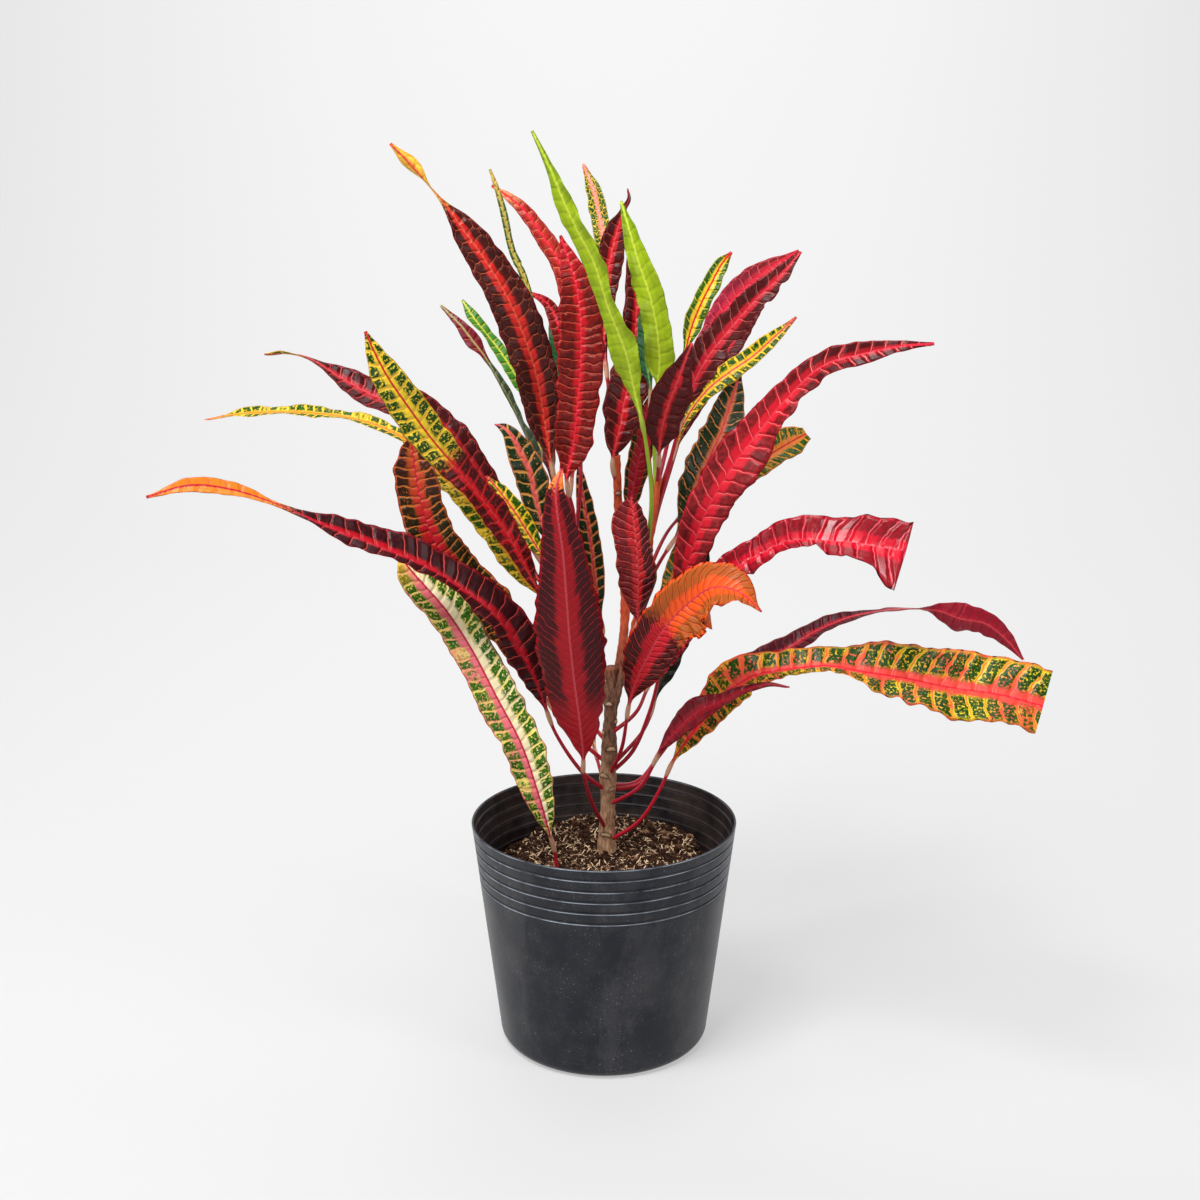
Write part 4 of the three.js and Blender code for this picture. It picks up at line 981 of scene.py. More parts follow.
    # Leathery gloss: each panel stands up between its veins, over a fine grain
    pillow = add(tree, "MapRange", {
        "Value": to_vein, "From Min": 0.0, "From Max": pitch * 0.3,
    }, interpolation_type="SMOOTHSTEP")
    grain = add(tree, "TexNoise", {"Vector": place, "Scale": 1.6, "Detail": 3})
    relief = add(tree, "Math", {0: grain, 1: 0.12, 2: pillow}, operation="MULTIPLY_ADD")
    relief = add(tree, "Math", {0: relief, 1: is_blade}, operation="MULTIPLY")
    bump = add(tree, "Bump", {"Strength": 1.0, "Distance": look["quilt"] * MM, "Height": relief})
    gloss = add(tree, "MapRange", {
        "Value": mottle, "To Min": look["rough"] - 0.07, "To Max": look["rough"] + 0.09,
    })
    gloss = add(tree, "Math", {0: below, 1: 0.08, 2: gloss}, operation="MULTIPLY_ADD")
    shader = add(tree, "BsdfPrincipled", {
        "Base Color": colour, "Roughness": gloss, "IOR": 1.4,
        "Specular IOR Level": look["shine"], "Normal": bump,
    })
    add(tree, "OutputMaterial", {"Surface": shader})
    return skin


def grow(leaves):
    """Makes each leaf of a list, with its skin, in place of its solid in the frame."""
    for name, skin, points, *extras in leaves:
        seed = 1 + sum(map(ord, name)) % 97
        bm = leaf_mesh(points, seed, **(extras[0] if extras else {}))
        blade = mesh_object(bm, name, skin)
        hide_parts("leaf_" + name)
        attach(blade, "root")


# In every look pitch, vein_width, gap and quilt are in mm: from vein to vein, a vein's half width,
# the bare strip beside it and how far a panel stands up. Band and fork are shares of the half
# width, and foot, tip_from and tip_to of the length. A higher cover keeps more of the panels,
# ragged and flecks break them up, and blush brings the colour near the midrib further out.
MAROON = dict(
    near="#b4141f", ground="#6a1014", panel="#38090a", panel_light="#500f0e", vein="#c8583f",
    vein_strength=0.7, vein_width=0.38, rib="#d03a42", margin="#521014", tip="#82181e",
    tip_panel="#4c1216", tip_from=2.0, tip_to=3.0, under="#701a2c", under_panel="#400f1d",
    under_panels=0.8, under_vein="#9c4a50", petiole="#86101f", petiole_light="#b82434",
    joint="#c49a7c", joint_strength=0.9, pitch=8.2, lean=0.22, fork=0.8, gap=0.15, ragged=0.4,
    mottle_scale=0.35, flecks=0.1, blush=0.3, shine=0.26, band=-0.02, band_ragged=0.16, cover=1.3,
    quilt=0.75, rough=0.31, foot=0.0, left_panels=1.0,
)

maroon = leaf_skin("maroon_croton_leaf", MAROON)
maroon_plain = leaf_skin(
    "plain_maroon_croton_leaf", MAROON, panel="#40080c", panel_light="#500c0e", ground="#5a0f12",
    band=-0.06, vein_strength=0.45, vein="#8e2c2a", gap=0.0, near="#b81820",
)
maroon_veined = leaf_skin(
    "veined_maroon_croton_leaf", MAROON, vein="#e4584e", vein_strength=0.9, pitch=5.8, rough=0.26,
    margin="#a05a24", band=0.02, fork=1.3, lean=0.5, shine=0.4, panel="#34090c",
    panel_light="#4c0e12", near="#c01820", ground="#a01420", left_panels=0.6,
)
maroon_banded = leaf_skin(
    "red_banded_maroon_leaf", MAROON, near="#b81c2c", band=0.02, vein="#c8685c", vein_strength=0.8,
    ground="#641218", margin="#b01c28", pitch=9.0, fork=1.3, panel="#3e0f0f", panel_light="#561817",
    lean=0.55,
)
maroon_orange_tip = leaf_skin(
    "orange_tipped_maroon_leaf", MAROON, near="#c42420", band=0.0, vein="#d0683a", rib="#d84c38",
    ground="#6a1410", panel="#36100d", panel_light="#4c1612", tip="#ec8c30", tip_panel="#e2b83c",
    tip_from=0.77, tip_to=0.81, fork=0.66,
)
maroon_yellow_tip = leaf_skin(
    "yellow_tipped_maroon_leaf", MAROON, near="#9c1c24", ground="#94201f", vein="#c03a30", gap=0.35,
    panel="#380a0e", panel_light="#480f10", tip="#e0ae2c", tip_panel="#4c5a14", tip_from=0.86,
    tip_to=0.94, pitch=9.5,
)
maroon_red_tip = leaf_skin(
    "red_tipped_maroon_leaf", MAROON, near="#9c1428", ground="#801222", vein="#ac3240",
    vein_strength=0.6, panel="#400f19", panel_light="#50131c", tip="#9c1028", tip_panel="#900e24",
    tip_from=0.5, tip_to=0.58, margin="#a83424", fork=1.3,
)
maroon_long = leaf_skin(
    "long_maroon_croton_leaf", MAROON, near="#b4101e", ground="#9c1422", vein="#d4604c",
    vein_strength=0.75, panel="#2c080d", panel_light="#400d12", gap=0.35, band=-0.1, pitch=10.5,
    tip="#f06c1c", tip_panel="#e07c24", tip_from=0.72, tip_to=0.77, fork=1.3, under="#5c3646",
    under_panel="#381822", under_vein="#985e6a", rib="#b41e30",
)
maroon_under = leaf_skin(
    "underside_of_a_maroon_leaf", MAROON, under="#9a0e1a", under_panel="#3c080e", under_panels=1.0,
    under_vein="#cc4048", pitch=6.4, lean=0.55, band=0.06, rib="#b8404a", rough=0.34, tip="#ec6c24",
    tip_panel="#e87c34", tip_from=0.93, tip_to=0.95, quilt=0.4, fork=1.3, ragged=2.0, shine=0.25,
    foot=0.2,
)
maroon_to_orange = leaf_skin(
    "maroon_leaf_turning_orange", MAROON, near="#c01024", vein="#dc5048", vein_strength=0.85,
    ground="#8c0e1a", tip="#f0561a", tip_panel="#a8541a", tip_from=0.44, tip_to=0.5, pitch=5.6,
    lean=0.6, margin="#ec4c1c", under="#a81424", under_panel="#74101c", fork=1.3, band=0.1,
)
MAROON_LEAVES = [
    ("tall_maroon_left", maroon_orange_tip, [
        (-16, 11, 358), (-31, -20, 418), (-37, -30, 450, 2), (-42, -32, 483, 12, 5),
        (-47, -40, 514, 15, 5), (-61, -49, 556, 15, 5), (-76, -53, 584, 13, 8),
        (-94, -55, 610, 9, 10), (-109, -56, 630, 2, 60), (-125, -58, 649, 5, 150),
        (-139, -58, 663, 1, 170),
    ]),
    ("top_maroon_curled", maroon, [
        (9, 9, 446), (4, 29, 487), (0, 40, 529, 4), (1, 48, 564, 9), (4, 53, 584, 10),
        (9, 57, 605, 9), (14, 60, 621, 3, 40), (18, 61, 629, 3, 60), (17, 61, 636, 1, 60),
    ]),
    ("centre_maroon_right", maroon, [
        (10, 11, 424), (6, 7, 443), (7, 8, 451, 4), (9, 8, 460, 9), (12, 10, 472, 13),
        (14, 13, 485, 15), (19, 17, 504, 15), (22, 20, 531, 12), (23, 23, 555, 9), (21, 26, 579, 6),
        (18, 30, 606, 1),
    ]),
    ("short_maroon_front", maroon_plain, [
        (38, -12, 434), (38, -26, 447), (38, -38, 460, 3), (39, -48, 475, 11), (43, -59, 494, 13),
        (47, -67, 506, 13), (52, -75, 522, 7), (57, -82, 537, 1),
    ]),
    ("big_maroon_right", maroon_banded, [
        (35, -11, 404), (46, -7, 444), (57, -2, 485, 3, -15), (63, -1, 501, 10, -15),
        (73, 0, 520, 13, -15), (87, 0, 538, 13, -15), (105, -1, 559, 10, -15),
        (122, -3, 576, 7, -15), (136, -4, 593, 1, -15),
    ], {"bites": [(0.42, 1, 0.45, 7), (0.62, 1, 0.15, 3), (0.7, 1, 0.2, 3), (0.82, 1, 0.25, 3)]}),
    ("front_right_orange", maroon_to_orange, [
        (3, 0, 206), (13, -18, 236), (18, -34, 275, 2), (23, -44, 296, 10), (31, -56, 318, 18),
        (42, -68, 341, 19, -5), (58, -80, 362, 19, -15), (73, -92, 375, 19, -25),
        (88, -102, 375, 13, -40), (104, -110, 363, 1, -50),
    ], {"bites": [(0.8, 1, -0.7, 18), (0.6, 1, -0.35, 12), (0.7, 1, 0.3, 6)],
        "ruffle": (1, 3.5, 11, 0.4, 0.95)}),
    ("low_right_maroon", maroon_red_tip, [
        (3, 0, 196), (27, 5, 200), (41, 12, 218), (62, 20, 243), (82, 29, 261, 3, -20),
        (108, 38, 281, 10, -30), (139, 46, 293, 10, -40), (162, 51, 306, 10, -45),
        (189, 56, 316, 6, -55), (215, 61, 320, 4, -70), (242, 65, 321, 2, -90),
        (259, 67, 319, 6, -150), (277, 69, 312, 12, -160), (298, 72, 307, 10, -160),
        (316, 75, 293, 6, -160), (331, 78, 276, 1, -160),
    ], {"bites": [(0.6, 1, -1.3, 18), (0.6, -1, -1.3, 18)]}),
    ("long_left", maroon_long, [
        (3, 0, 195), (-16, -15, 216), (-35, -25, 249), (-43, -33, 274, 3, 15),
        (-54, -45, 310, 13, 20, -0.1), (-73, -58, 349, 14, 25, -0.25),
        (-96, -68, 372, 12, 30, -0.35), (-121, -79, 391, 12, 35, -0.35),
        (-154, -91, 406, 13, 40, -0.15), (-181, -101, 418, 9, 45), (-212, -112, 435, 3, 60),
        (-240, -122, 447, 6, 30), (-264, -130, 451, 5, 20), (-290, -138, 445, 1, 10),
    ]),
    ("front_centre", maroon_under, [
        (2, 0, 164, 0, 180), (-9, -22, 195, 0, 180), (-15, -39, 225, 0, 180),
        (-15, -46, 239, 3, 180), (-17, -59, 267, 16, 180), (-21, -70, 304, 23, 180),
        (-24, -80, 339, 25, 180), (-26, -88, 373, 20, 180), (-28, -94, 402, 15, 180),
        (-31, -98, 426, 10, 180), (-32, -98, 443, 6, 180), (-28, -91, 456, 1, 180),
    ]),
    ("left_upper_maroon", maroon_yellow_tip, [
        (-9, 8, 320), (-32, -1, 352), (-54, -5, 386, 3, 10), (-75, -6, 417, 9, 15),
        (-92, -5, 441, 11, 15), (-110, -4, 465, 13, 15), (-131, -1, 482, 13, 20),
        (-160, 2, 491, 14, 30), (-188, 8, 505, 9, 40), (-212, 11, 519, 2, 60),
        (-227, 11, 522, 4, 100), (-242, 12, 521, 1, 120),
    ]),
    ("glossy_maroon_centre", maroon_veined, [
        (20, -7, 318), (24, -14, 328), (24, -18, 341, 6, 10), (23, -24, 365, 14, 10, 0.1),
        (20, -28, 387, 14, 10, 0.25), (17, -30, 409, 13, 10, 0.3), (18, -30, 419, 9, 10, 0.25),
        (19, -30, 426, 1, 10),
    ]),
    ("back_behind_tall", maroon, [
        (-11, 9, 330), (-36, 48, 379), (-39, 65, 422, 3), (-49, 104, 458, 10), (-64, 151, 512, 11),
        (-78, 188, 549, 8), (-89, 210, 571, 1),
    ]),
    ("back_behind_right", maroon_banded, [
        (29, -10, 366), (42, 43, 418), (55, 72, 447, 3), (73, 88, 485, 9), (97, 124, 518, 11),
        (118, 152, 543, 7), (132, 168, 558, 1),
    ]),
    ("back_low_left", maroon_plain, [
        (4, 0, 232), (-22, 42, 250), (-46, 74, 270, 3), (-71, 106, 297, 10, 10),
        (-110, 141, 319, 11, 20), (-145, 167, 334, 8, 30), (-172, 186, 341, 1, 30),
    ]),
]
grow(MAROON_LEAVES)

# Red leaves
# Older leaves in which red has spread from the midrib over the whole face. The panels are
# brownish maroon or gone, the veins pink, and the gloss is at its strongest.
RED = dict(
    MAROON, near="#d81c36", ground="#ae202e", panel="#5c1416", panel_light="#781c1e",
    vein="#e69a90", vein_strength=0.75, rib="#dc2a3e", margin="#9c1020", tip="#a8181e",
    tip_panel="#7c1418", under="#80102a", under_panel="#5c1024", under_vein="#b83a4e", band=0.1,
    cover=1.25, gap=0.4,
)
red_banded = leaf_skin(
    "red_croton_leaf", RED, ground="#a81612", panel="#540b09", panel_light="#821510", band=-0.08,
    pitch=6.2, vein="#cc6a4c", tip="#b81e26", tip_panel="#a81a20", tip_from=0.8, tip_to=0.9,
    lean=0.0, gap=0.3, fork=1.3, near="#c2141e",
)
red_pale = leaf_skin(
    "pale_tipped_red_leaf", RED, near="#b82a24", ground="#aa2620", panel="#861c18",
    panel_light="#9c2a20", vein="#d8865c", tip="#e88c5c", tip_panel="#e89c68", tip_from=0.85,
    tip_to=0.95,
)
pink_red = leaf_skin(
    "pink_red_croton_leaf", RED, near="#c82c40", ground="#c02a3c", panel="#8e1c34",
    panel_light="#a82c42", vein="#de707a", tip="#bc2a36", tip_panel="#7c1c20", tip_from=0.6,
    tip_to=0.8,
)
red_big = leaf_skin(
    "big_red_croton_leaf", RED, pitch=10.2, lean=0.45, band=0.08, tip="#a01620",
    tip_panel="#4c1012", tip_from=0.62, tip_to=0.72, vein="#e88e86", fork=1.3, near="#ce1a2c",
    ground="#b41c2c", panel="#600f14", panel_light="#942024", vein_strength=0.8, gap=1.1,
    ragged=1.7,
)
crimson = leaf_skin(
    "crimson_croton_leaf", RED, near="#cc0c28", ground="#b80e28", panel="#7c0c18",
    panel_light="#9a1020", vein="#e8808c", vein_strength=0.5, band=0.08, rough=0.2, quilt=1.4,
    pitch=10.6, lean=0.15, under="#a00f2a", under_panel="#821024", fork=1.3, shine=0.6, gap=0.7,
)
red_under = leaf_skin(
    "underside_of_a_red_leaf", RED, under="#80101c", under_panel="#64101a", under_panels=0.5,
    petiole="#b01c30", near="#84101f", ground="#740e18", panel="#560a14", panel_light="#640c18",
    vein="#a82436", vein_strength=0.1, pitch=9.0, fork=1.3, rib="#9c1828", under_vein="#8c1624",
    cover=0.75,
)
crimson_yellow_tip = leaf_skin(
    "yellow_tipped_crimson_leaf", RED, near="#c00e20", ground="#8c1016", panel="#340a0a",
    panel_light="#480f0e", vein="#c84a3c", tip="#e6c430", tip_panel="#17420e", tip_from=0.52,
    tip_to=0.58, band=-0.02, gap=1.0, rib="#c42c28", cover=1.15, fork=1.3, pitch=8.6, ragged=1.8,
    flecks=0.42,
)
RED_LEAVES = [
    ("centre_red", red_banded, [
        (-20, 12, 381), (-22, -27, 416), (-26, -43, 440, 2), (-22, -44, 461, 12),
        (-19, -50, 486, 14), (-16, -55, 520, 16), (-16, -58, 550, 15), (-19, -59, 574, 11),
        (-24, -58, 590, 6), (-29, -57, 605, 1),
    ]),
    ("narrow_red_behind", red_pale, [
        (-21, 13, 388), (-17, 10, 431), (-19, 33, 486, 3), (-22, 43, 536, 7), (-31, 54, 580, 7),
        (-43, 59, 600, 7), (-59, 64, 621, 5), (-71, 66, 631, 3), (-82, 68, 638, 1),
    ]),
    ("pink_red_right", pink_red, [
        (32, -11, 384), (40, 19, 409), (49, 40, 433), (58, 54, 461), (69, 71, 504, 5),
        (84, 83, 537, 9), (100, 91, 558, 11), (119, 95, 574, 9), (147, 100, 591, 1),
    ]),
    ("big_red_right", red_big, [
        (3, 0, 208), (21, 7, 224), (34, 1, 258), (42, -13, 298), (53, -24, 347, 3),
        (61, -34, 385, 12, -10), (71, -44, 418, 15, -10), (87, -53, 450, 16, -15),
        (102, -58, 472, 15, -20), (123, -66, 500, 11, -20), (144, -73, 521, 10, -20),
        (171, -80, 530, 8, -15), (193, -84, 535, 4, -10), (214, -88, 537, 1),
    ], {"bites": [(0.45, 1, -0.3, 26), (0.66, 1, 0.2, 8)]}),
    ("right_arching_red", crimson, [
        (4, 0, 240), (24, -14, 263), (33, -20, 286, 1), (49, -30, 316, 9, -15),
        (67, -44, 350, 9, -15), (80, -52, 373, 9, -20, 0.2), (95, -60, 386, 11, -20, 0.1),
        (108, -68, 394, 13, -20), (122, -74, 405, 12, -20, 0.2), (136, -80, 411, 11, -20, 0.55),
        (152, -86, 411, 12, -20, 0.5), (165, -92, 409, 16, -20, 0.2), (181, -98, 406, 18, -20, 0.1),
        (199, -104, 403, 21, -20),
    ], {"bites": [(1.0, 1, -0.62, 16), (0.8, 1, -0.4, 12), (0.6, 1, 0.3, 18)]}),
    ("low_right_underside", red_under, [
        (3, 0, 184), (27, -18, 206), (37, -30, 230, 1, -30), (41, -36, 241, 3, -30),
        (54, -48, 262, 8, -30), (67, -60, 278, 10, -35), (82, -72, 289, 7, -40),
        (97, -82, 300, 4, -50), (113, -88, 306, 3, -60), (126, -94, 306, 1, -60),
    ]),
    ("left_yellow_crimson", crimson_yellow_tip, [
        (-5, 5, 300), (-32, -25, 339), (-47, -39, 361, 3, 30), (-59, -50, 388, 8, 30),
        (-72, -58, 413, 11, 30), (-88, -67, 437, 10, 25), (-102, -76, 457, 11, 10),
        (-115, -83, 475, 13), (-128, -91, 496, 13), (-140, -97, 516, 11), (-148, -100, 533, 6),
        (-153, -102, 546, 1),
    ]),
    ("red_arc_behind", red_banded, [
        (-18, 12, 369), (-28, 40, 426), (-25, 61, 490, 4), (-33, 78, 533, 7), (-40, 85, 549, 5),
        (-47, 87, 556, 3), (-59, 90, 561, 1),
    ]),
    ("back_behind_big_red", red_big, [
        (28, -10, 358), (48, 48, 385), (65, 79, 397, 3), (85, 102, 414, 11), (110, 143, 437, 12),
        (135, 181, 460, 10), (158, 212, 480, 1),
    ]),
    ("back_left", crimson_yellow_tip, [
        (-1, 3, 280), (-32, 41, 330), (-51, 65, 345, 3), (-75, 99, 376, 10, 10),
        (-104, 132, 409, 11, 10), (-130, 159, 434, 7, 10), (-146, 176, 449, 1, 10),
    ]),
]
grow(RED_LEAVES)

# Lime leaves
# The youngest leaves, before any red comes into them: lime green, softer and thinner, with the
# midrib and a net of fine veins a little paler than the blade. Almost flat between the veins and
# softly glossy, they read as one bright even green.
LIME = dict(
    MAROON, near="#9cb41c", ground="#94ac18", panel="#88a014", panel_light="#94ac18",
    vein="#a8c434", vein_strength=0.3, rib="#c4d444", margin="#a0b83c", under="#9cb83a",
    under_panel="#90ac30", under_vein="#b8cc60", pitch=8.6, petiole="#7c9c1c",
    petiole_light="#9cb830", joint="#98a83c", gap=0.2, band=0.16, rough=0.36, quilt=0.3,
    tip="#6c8e18", tip_panel="#608214", tip_from=0.75, tip_to=1.0, fork=1.3, lean=0.3,
    vein_width=0.6, shine=0.3,
)
lime = leaf_skin("lime_croton_leaf", LIME)
LIME_LEAVES = [
    ("lime_left", lime, [
        (29, -10, 366), (33, -32, 424), (29, -50, 462), (25, -59, 484, 2, -20),
        (20, -65, 504, 5, -20), (14, -74, 530, 10, -20), (2, -83, 561, 6, -20),
        (-7, -90, 589, 7, -15), (-18, -95, 610, 6, -15), (-26, -98, 627, 6, -12),
        (-33, -101, 644, 3, -10), (-45, -105, 669, 1, -10),
    ], {"ruffle": (1, 2.6, 24, 0.15, 0.95)}),
    ("lime_right", lime, [
        (37, -12, 425), (36, -3, 455), (37, -22, 503, 2), (38, -25, 519, 10), (36, -29, 541, 10),
        (31, -31, 564, 10), (23, -31, 587, 8), (17, -31, 607, 5), (11, -29, 627, 1),
    ], {"ruffle": (-1, 2.2, 27, 0.15, 0.95)}),
]
grow(LIME_LEAVES)

# Variegated leaves
# Yellow leaves with green left in the panels between the veins, and pink or red coming into the
# midrib, the veins and the margin as they age. The yellow is clear and warm under the gloss, and
# the green on it is ragged like wet paint.
YELLOW = dict(
    MAROON, near="#e8b41a", ground="#e0bc20", panel="#12380a", panel_light="#2e5e10",
    vein="#e4c038", vein_strength=0.75, rib="#d04440", margin="#c49a28", under="#bca24c",
    under_panel="#6c7c38", under_vein="#d4bc6c", tip="#d44a2c", tip_panel="#a0341c", tip_from=0.9,
    tip_to=0.97, gap=0.75, ragged=1.6, cover=1.0, band=0.14, rough=0.33, mottle_scale=0.38,
    fork=1.3, pitch=7.6, flecks=0.39,
)
yellow_green = leaf_skin(
    "yellow_and_green_croton_leaf", YELLOW, near="#e4b02a", margin="#d86c20", band=0.0, cover=1.2,
)
green_yellow = leaf_skin(
    "green_and_yellow_croton_leaf", YELLOW, near="#40781c", ground="#4c801e", panel="#2e6818",
    panel_light="#3e7c1e", margin="#ccb830", rib="#b8bc38", tip="#50801c", tip_panel="#2e6014",
    petiole="#a0a834", petiole_light="#c8bc34",
)
grey_yellow = leaf_skin(
    "thin_young_croton_leaf", YELLOW, near="#b8a83c", ground="#5c6e3c", panel="#2c4c28",
    panel_light="#426038", margin="#bc9c40", rib="#bca450", tip="#d89848", tip_panel="#c8943c",
    tip_from=0.8, petiole="#4c5c2c", petiole_light="#7c7c3c",
)
green_pink_rib = leaf_skin(
    "green_leaf_with_a_pink_midrib", YELLOW, near="#ec7a64", band=0.0, ground="#dcc434",
    panel="#1e4410", panel_light="#2e5c16", rib="#f09484", margin="#2c4c18", cover=1.2, gap=0.3,
    tip="#dc3c2c", fork=0.45, pitch=5.6,
)
green_red_rib = leaf_skin(
    "green_leaf_with_a_red_midrib", YELLOW, near="#e8c02c", rib="#d41e26", ground="#709420",
    panel="#20480f", panel_light="#3c6412", cover=1.2, gap=0.3, tip="#84201c",
)
yellow_orange = leaf_skin(
    "orange_and_green_croton_leaf", YELLOW, near="#dc7c34", ground="#dc9c2c", vein="#d8702c",
    margin="#c02c20", rib="#c42c2c", tip_from=2.0, tip_to=3.0, band=0.0, panel="#1c3c0c",
)
yellow_panelled = leaf_skin(
    "yellow_leaf_with_red_veins", YELLOW, near="#e4443a", band=-0.1, ground="#dcc224",
    vein="#e24c30", vein_strength=0.9, panel="#0c2c05", panel_light="#20500a", margin="#ec5a34",
    rib="#d81c30", pitch=11.5, gap=1.35, ragged=2.6, lean=0.0, under="#701628",
    under_panel="#501222", under_vein="#9c3a48", tip_from=2.0, tip_to=3.0, petiole="#b01a2e",
    petiole_light="#c01e32", vein_width=0.8, flecks=0.425, cover=0.98, blush=0.9, mottle_scale=0.3,
)
yellow_long = leaf_skin(
    "long_yellow_croton_leaf", YELLOW, near="#e09c24", ground="#e8c434", vein="#e8be38",
    rib="#dc7c24", margin="#c08c2c", tip="#dc5c3c", tip_panel="#dc6c4c", tip_from=0.93, tip_to=0.98,
    cover=0.9, band=0.0,
)
# Right of its midrib this leaf is a pale cream that is partly its colour and partly a painted
# highlight
pink_yellow = leaf_skin(
    "pink_and_yellow_croton_leaf", YELLOW, near="#e8707a", ground="#f0dc70", vein="#ecbc60",
    panel="#1c4c08", panel_light="#3c7410", rib="#c4204a", margin="#d8383c", band=0.04, cover=0.92,
    pitch=8.4, gap=0.9, tip="#ecca5c", tip_panel="#e0b03c", tip_to=1.0, ragged=1.2, flecks=0.41,
    blush=0.9, near_right="#f4e4b8",
)
brown_orange = leaf_skin(
    "brown_and_orange_croton_leaf", YELLOW, near="#b8141f", band=0.04, ground="#b86a20",
    vein="#c47c2e", panel="#161606", panel_light="#2a260c", rib="#b81c2e", margin="#ac241f",
    cover=1.3, ragged=1.0, gap=0.6, tip="#ac4a20", tip_panel="#38120c", tip_from=0.7, tip_to=0.95,
    pitch=6.8, lean=0.05, flecks=0.36,
)
VARIEGATED_LEAVES = [
    ("thin_yellow_left", grey_yellow, [
        (-19, 12, 375), (-35, 23, 421), (-43, 26, 516, 2, 10), (-57, 31, 572, 4, 30),
        (-66, 32, 593, 3, 30), (-71, 33, 617, 3, 30), (-76, 36, 635, 2, 20), (-81, 38, 649, 1),
    ]),
    ("top_variegated", green_pink_rib, [
        (9, 10, 440), (9, 48, 499), (6, 79, 555, 3), (2, 94, 584, 7), (-3, 111, 613, 7),
        (-8, 122, 635, 6), (-16, 132, 655, 1),
    ]),
    ("thin_variegated_right", green_red_rib, [
        (39, -12, 436), (46, 18, 457), (59, 32, 522, 3), (64, 37, 540, 7), (71, 43, 556, 7),
        (78, 48, 569, 7), (86, 54, 583, 5), (93, 58, 591, 1),
    ]),
    ("yellow_right", yellow_green, [
        (33, -11, 394), (46, 12, 434), (58, 28, 469, 4, -20), (75, 37, 492, 8, -20),
        (92, 43, 505, 9, -20), (109, 48, 516, 8, -20), (127, 55, 531, 5, -20),
        (142, 61, 544, 1, -20),
    ]),
    ("orange_right_behind", yellow_orange, [
        (23, -8, 328), (38, 16, 315), (44, 23, 327, 4), (50, 33, 347, 8), (64, 50, 374, 10),
        (86, 66, 401, 10, -10), (107, 83, 424, 12, -12), (127, 96, 435, 13, -15),
        (145, 106, 444, 13, -15), (159, 114, 450, 6, -15),
    ]),
    ("low_right_yellow", yellow_panelled, [
        (2, 0, 154), (27, -15, 178), (42, -23, 207), (50, -29, 229, 2, -20), (64, -36, 254, 9, -20),
        (78, -42, 275, 14, -25, -0.1), (93, -49, 295, 17, -30, 0.1), (104, -53, 305, 14, -35, 0.3),
        (137, -62, 314, 10, -40, 0.5), (157, -67, 317, 12, -40, 0.45),
        (177, -73, 315, 17, -35, 0.3), (203, -81, 311, 23, -30, 0.1), (236, -92, 305, 27, -30),
        (267, -102, 303, 27, -30), (294, -112, 298, 25, -30),
    ]),
    ("low_left_variegated", pink_yellow, [
        (-34, -40, 136), (-36, -40, 162), (-40, -44, 180, 3, 10), (-48, -50, 214, 12, 10),
        (-59, -54, 251, 15, 15), (-76, -56, 287, 16, 15), (-93, -56, 322, 15, 15),
        (-110, -54, 349, 16, 20), (-125, -50, 366, 15, 20), (-135, -48, 377, 13, 20),
        (-140, -47, 384, 6, 20), (-143, -46, 388, 1, 20),
    ]),
    ("left_brown_variegated", brown_orange, [
        (3, 0, 217), (-22, 2, 239), (-45, -5, 273, 3), (-58, -10, 303, 11, 5),
        (-75, -15, 334, 16, 10), (-100, -21, 364, 17, 10), (-119, -24, 390, 17, 5),
        (-128, -25, 416, 16), (-132, -24, 438, 16), (-134, -23, 458, 10), (-134, -22, 469, 1),
    ]),
    ("left_green_strip", yellow_green, [
        (-10, 8, 326), (-26, 2, 355), (-42, -20, 378, 2, 20), (-52, -24, 395, 7, 20),
        (-62, -26, 412, 8, 20), (-73, -26, 428, 6, 20), (-83, -26, 440, 1, 20),
    ]),
    ("long_yellow_left", yellow_long, [
        (-3, 4, 288), (-31, 15, 336), (-52, 16, 348, 3, 10), (-66, 17, 369, 10, 10),
        (-81, 23, 393, 13, 12), (-99, 29, 413, 12, 20), (-117, 37, 429, 13, 25),
        (-138, 47, 448, 10, 40), (-164, 56, 462, 7, 50), (-195, 66, 469, 8, 55),
        (-231, 78, 471, 8, 55), (-272, 90, 469, 7, 55), (-309, 100, 463, 1, 60),
    ]),
    ("small_green_left", green_yellow, [
        (-12, 10, 340), (-43, 40, 407), (-52, 64, 475, 4), (-67, 73, 501, 6), (-80, 82, 519, 5, 20),
        (-89, 89, 529, 5, 40), (-99, 96, 541, 5, 10), (-108, 104, 554, 1),
    ]),
    ("back_low_right", yellow_panelled, [
        (3, 0, 200), (28, 37, 191), (51, 66, 212), (81, 97, 232, 4), (118, 122, 249, 11, -10),
        (164, 150, 252, 10, -20), (218, 174, 246, 9, -20), (261, 192, 237, 1, -20),
    ]),
    ("back_low_centre", pink_yellow, [
        (3, 0, 190), (-3, 35, 200), (-8, 64, 210, 3), (-16, 102, 235, 12), (-24, 139, 267, 14),
        (-28, 170, 298, 10), (-32, 194, 322, 1),
    ]),
]
grow(VARIEGATED_LEAVES)

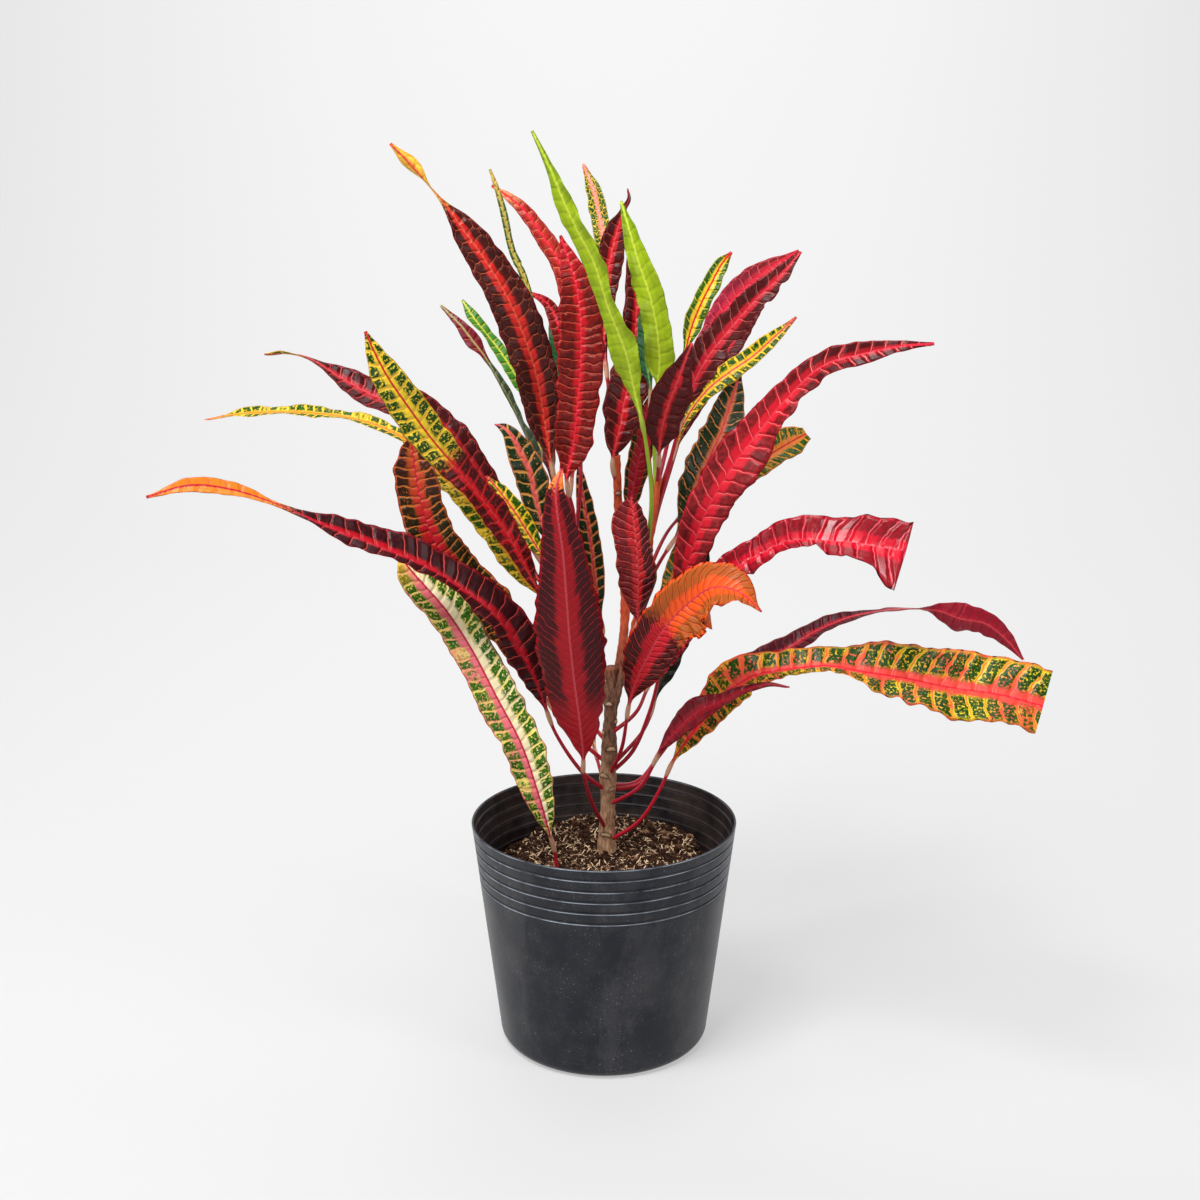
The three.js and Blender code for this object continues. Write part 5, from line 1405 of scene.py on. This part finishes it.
# Dark green leaves
# Leaves with broad near-black green panels, and salmon, orange or pink only on the veins, the
# midrib and the margin. So dark a skin shows its wax most: its sheen is grey and cool.
GREEN = dict(
    MAROON, near="#d06a44", ground="#be7a3a", panel="#0f1e0f", panel_light="#1c341a",
    vein="#cc7c4c", vein_strength=0.65, rib="#d04450", margin="#c06c3a", under="#4c543a",
    under_panel="#2a3420", under_vein="#9c7450", tip="#202a16", tip_panel="#1a1410", tip_from=0.92,
    tip_to=0.98, cover=1.35, gap=0.45, ragged=1.9, band=-0.1, rough=0.3, mottle_scale=0.45,
    fork=1.3, pitch=9.6, flecks=0.34, lean=0.4, vein_width=0.32,
)
dark_green = leaf_skin("dark_green_croton_leaf", GREEN)
dark_green_salmon = leaf_skin(
    "salmon_banded_green_leaf", GREEN, vein="#d0704c", gap=0.8, margin="#dc7830", pitch=8.4,
)
dark_green_yellow = leaf_skin(
    "dark_green_and_yellow_leaf", GREEN, near="#d86050", ground="#b88a3c", vein="#c8904c",
    rib="#d85458", gap=0.8, margin="#c0382f", ragged=1.6, tip="#1a1210", tip_panel="#140e0c",
)
bluish_green = leaf_skin(
    "bluish_green_croton_leaf", GREEN, near="#3c6c3c", ground="#2e5e36", panel="#20482a",
    panel_light="#306038", vein="#4c7c48", vein_strength=0.5, rib="#6c9450", margin="#2e5e2e",
    tip="#3c7028", tip_panel="#2e6020",
)
grey_green = leaf_skin(
    "grey_green_croton_leaf", GREEN, near="#7c7c4c", ground="#5c6840", panel="#2e3c2a",
    panel_light="#3c4c34", vein="#6c7848", rib="#988c54", margin="#3c3424", under="#5c6444",
    under_panel="#40482e", tip="#8c1c26", tip_panel="#6a1420", tip_from=0.62, tip_to=0.66,
)
# This leaf lies in shade behind the others, and that shade is painted into it: all its colours are
# near black
green_in_painted_shade = leaf_skin(
    "shaded_dark_green_leaf", GREEN, near="#20241a", ground="#1a2016", panel="#10120c",
    panel_light="#161a12", vein="#2e2e20", vein_strength=0.4, rib="#3c2e24", margin="#262420",
    under="#20201a", under_panel="#141610", under_vein="#2e2c24",
)
dark_green_red_rib = leaf_skin(
    "dark_green_leaf_with_a_broad_red_midrib", GREEN, near="#a81c2c", ground="#c86a2c",
    rib="#c43044", band=0.28, margin="#d07c30", pitch=6.4, gap=0.3,
)
DARK_GREEN_LEAVES = [
    ("dull_green_strip", bluish_green, [
        (36, -12, 414), (32, 8, 453), (33, 8, 495, 2), (30, 9, 517, 6), (29, 13, 538, 6),
        (30, 16, 559, 4), (27, 18, 571, 1),
    ]),
    ("dark_green_right", dark_green, [
        (26, -9, 348), (44, 22, 372), (57, 36, 389, 4), (68, 52, 412, 14), (77, 65, 432, 16),
        (90, 82, 457, 15), (99, 99, 480, 10), (106, 112, 500, 1),
    ]),
    ("dark_behind_right", green_in_painted_shade, [
        (3, 0, 212), (31, 17, 240), (40, 24, 265, 3), (49, 33, 285, 8), (58, 49, 312, 11),
        (67, 67, 339, 12), (75, 86, 367, 8), (80, 102, 388, 1),
    ]),
    ("edge_on_left", grey_green, [
        (-14, 10, 350), (-34, 15, 400, 0, 70), (-45, 18, 430, 3, 75), (-54, 25, 454, 9, 75),
        (-65, 33, 477, 9, 75), (-78, 41, 500, 6, 70), (-88, 50, 516, 3, 40), (-96, 54, 526, 6, 10),
        (-106, 60, 538, 4, 10), (-121, 68, 552, 1, 10),
    ]),
    ("green_sliver_behind", bluish_green, [
        (-17, 11, 363), (-32, 52, 420), (-29, 77, 473, 3), (-34, 103, 509, 7), (-37, 114, 531, 6),
        (-39, 124, 550, 1),
    ]),
    ("left_dark_variegated", dark_green_yellow, [
        (-12, 9, 336), (-30, 5, 365), (-41, 2, 388, 3), (-48, 2, 412, 9), (-53, 4, 436, 12),
        (-61, 7, 453, 10), (-67, 9, 464, 6), (-73, 12, 469, 4, 30), (-79, 14, 471, 1, 60),
    ]),
    ("centre_dark_green", dark_green_salmon, [
        (-6, 6, 306), (-1, 24, 313), (-4, 30, 330, 4), (-7, 36, 352, 8), (-10, 38, 379, 8),
        (-14, 38, 405, 7), (-17, 38, 425, 4), (-19, 38, 440, 1),
    ]),
    ("centre_red_rib", dark_green_red_rib, [
        (15, 12, 352), (16, 26, 377), (18, 30, 399, 2), (21, 31, 418, 7), (25, 32, 439, 9),
        (29, 33, 458, 9), (31, 34, 476, 6), (34, 34, 490, 1),
    ]),
    ("back_behind_centre", dark_green, [
        (-15, 10, 352), (-26, 54, 393), (-24, 78, 427, 3), (-19, 95, 479, 10), (-17, 126, 522, 11),
        (-16, 148, 551, 7), (-17, 160, 568, 1),
    ]),
]
grow(DARK_GREEN_LEAVES)

bpy.context.view_layer.update()
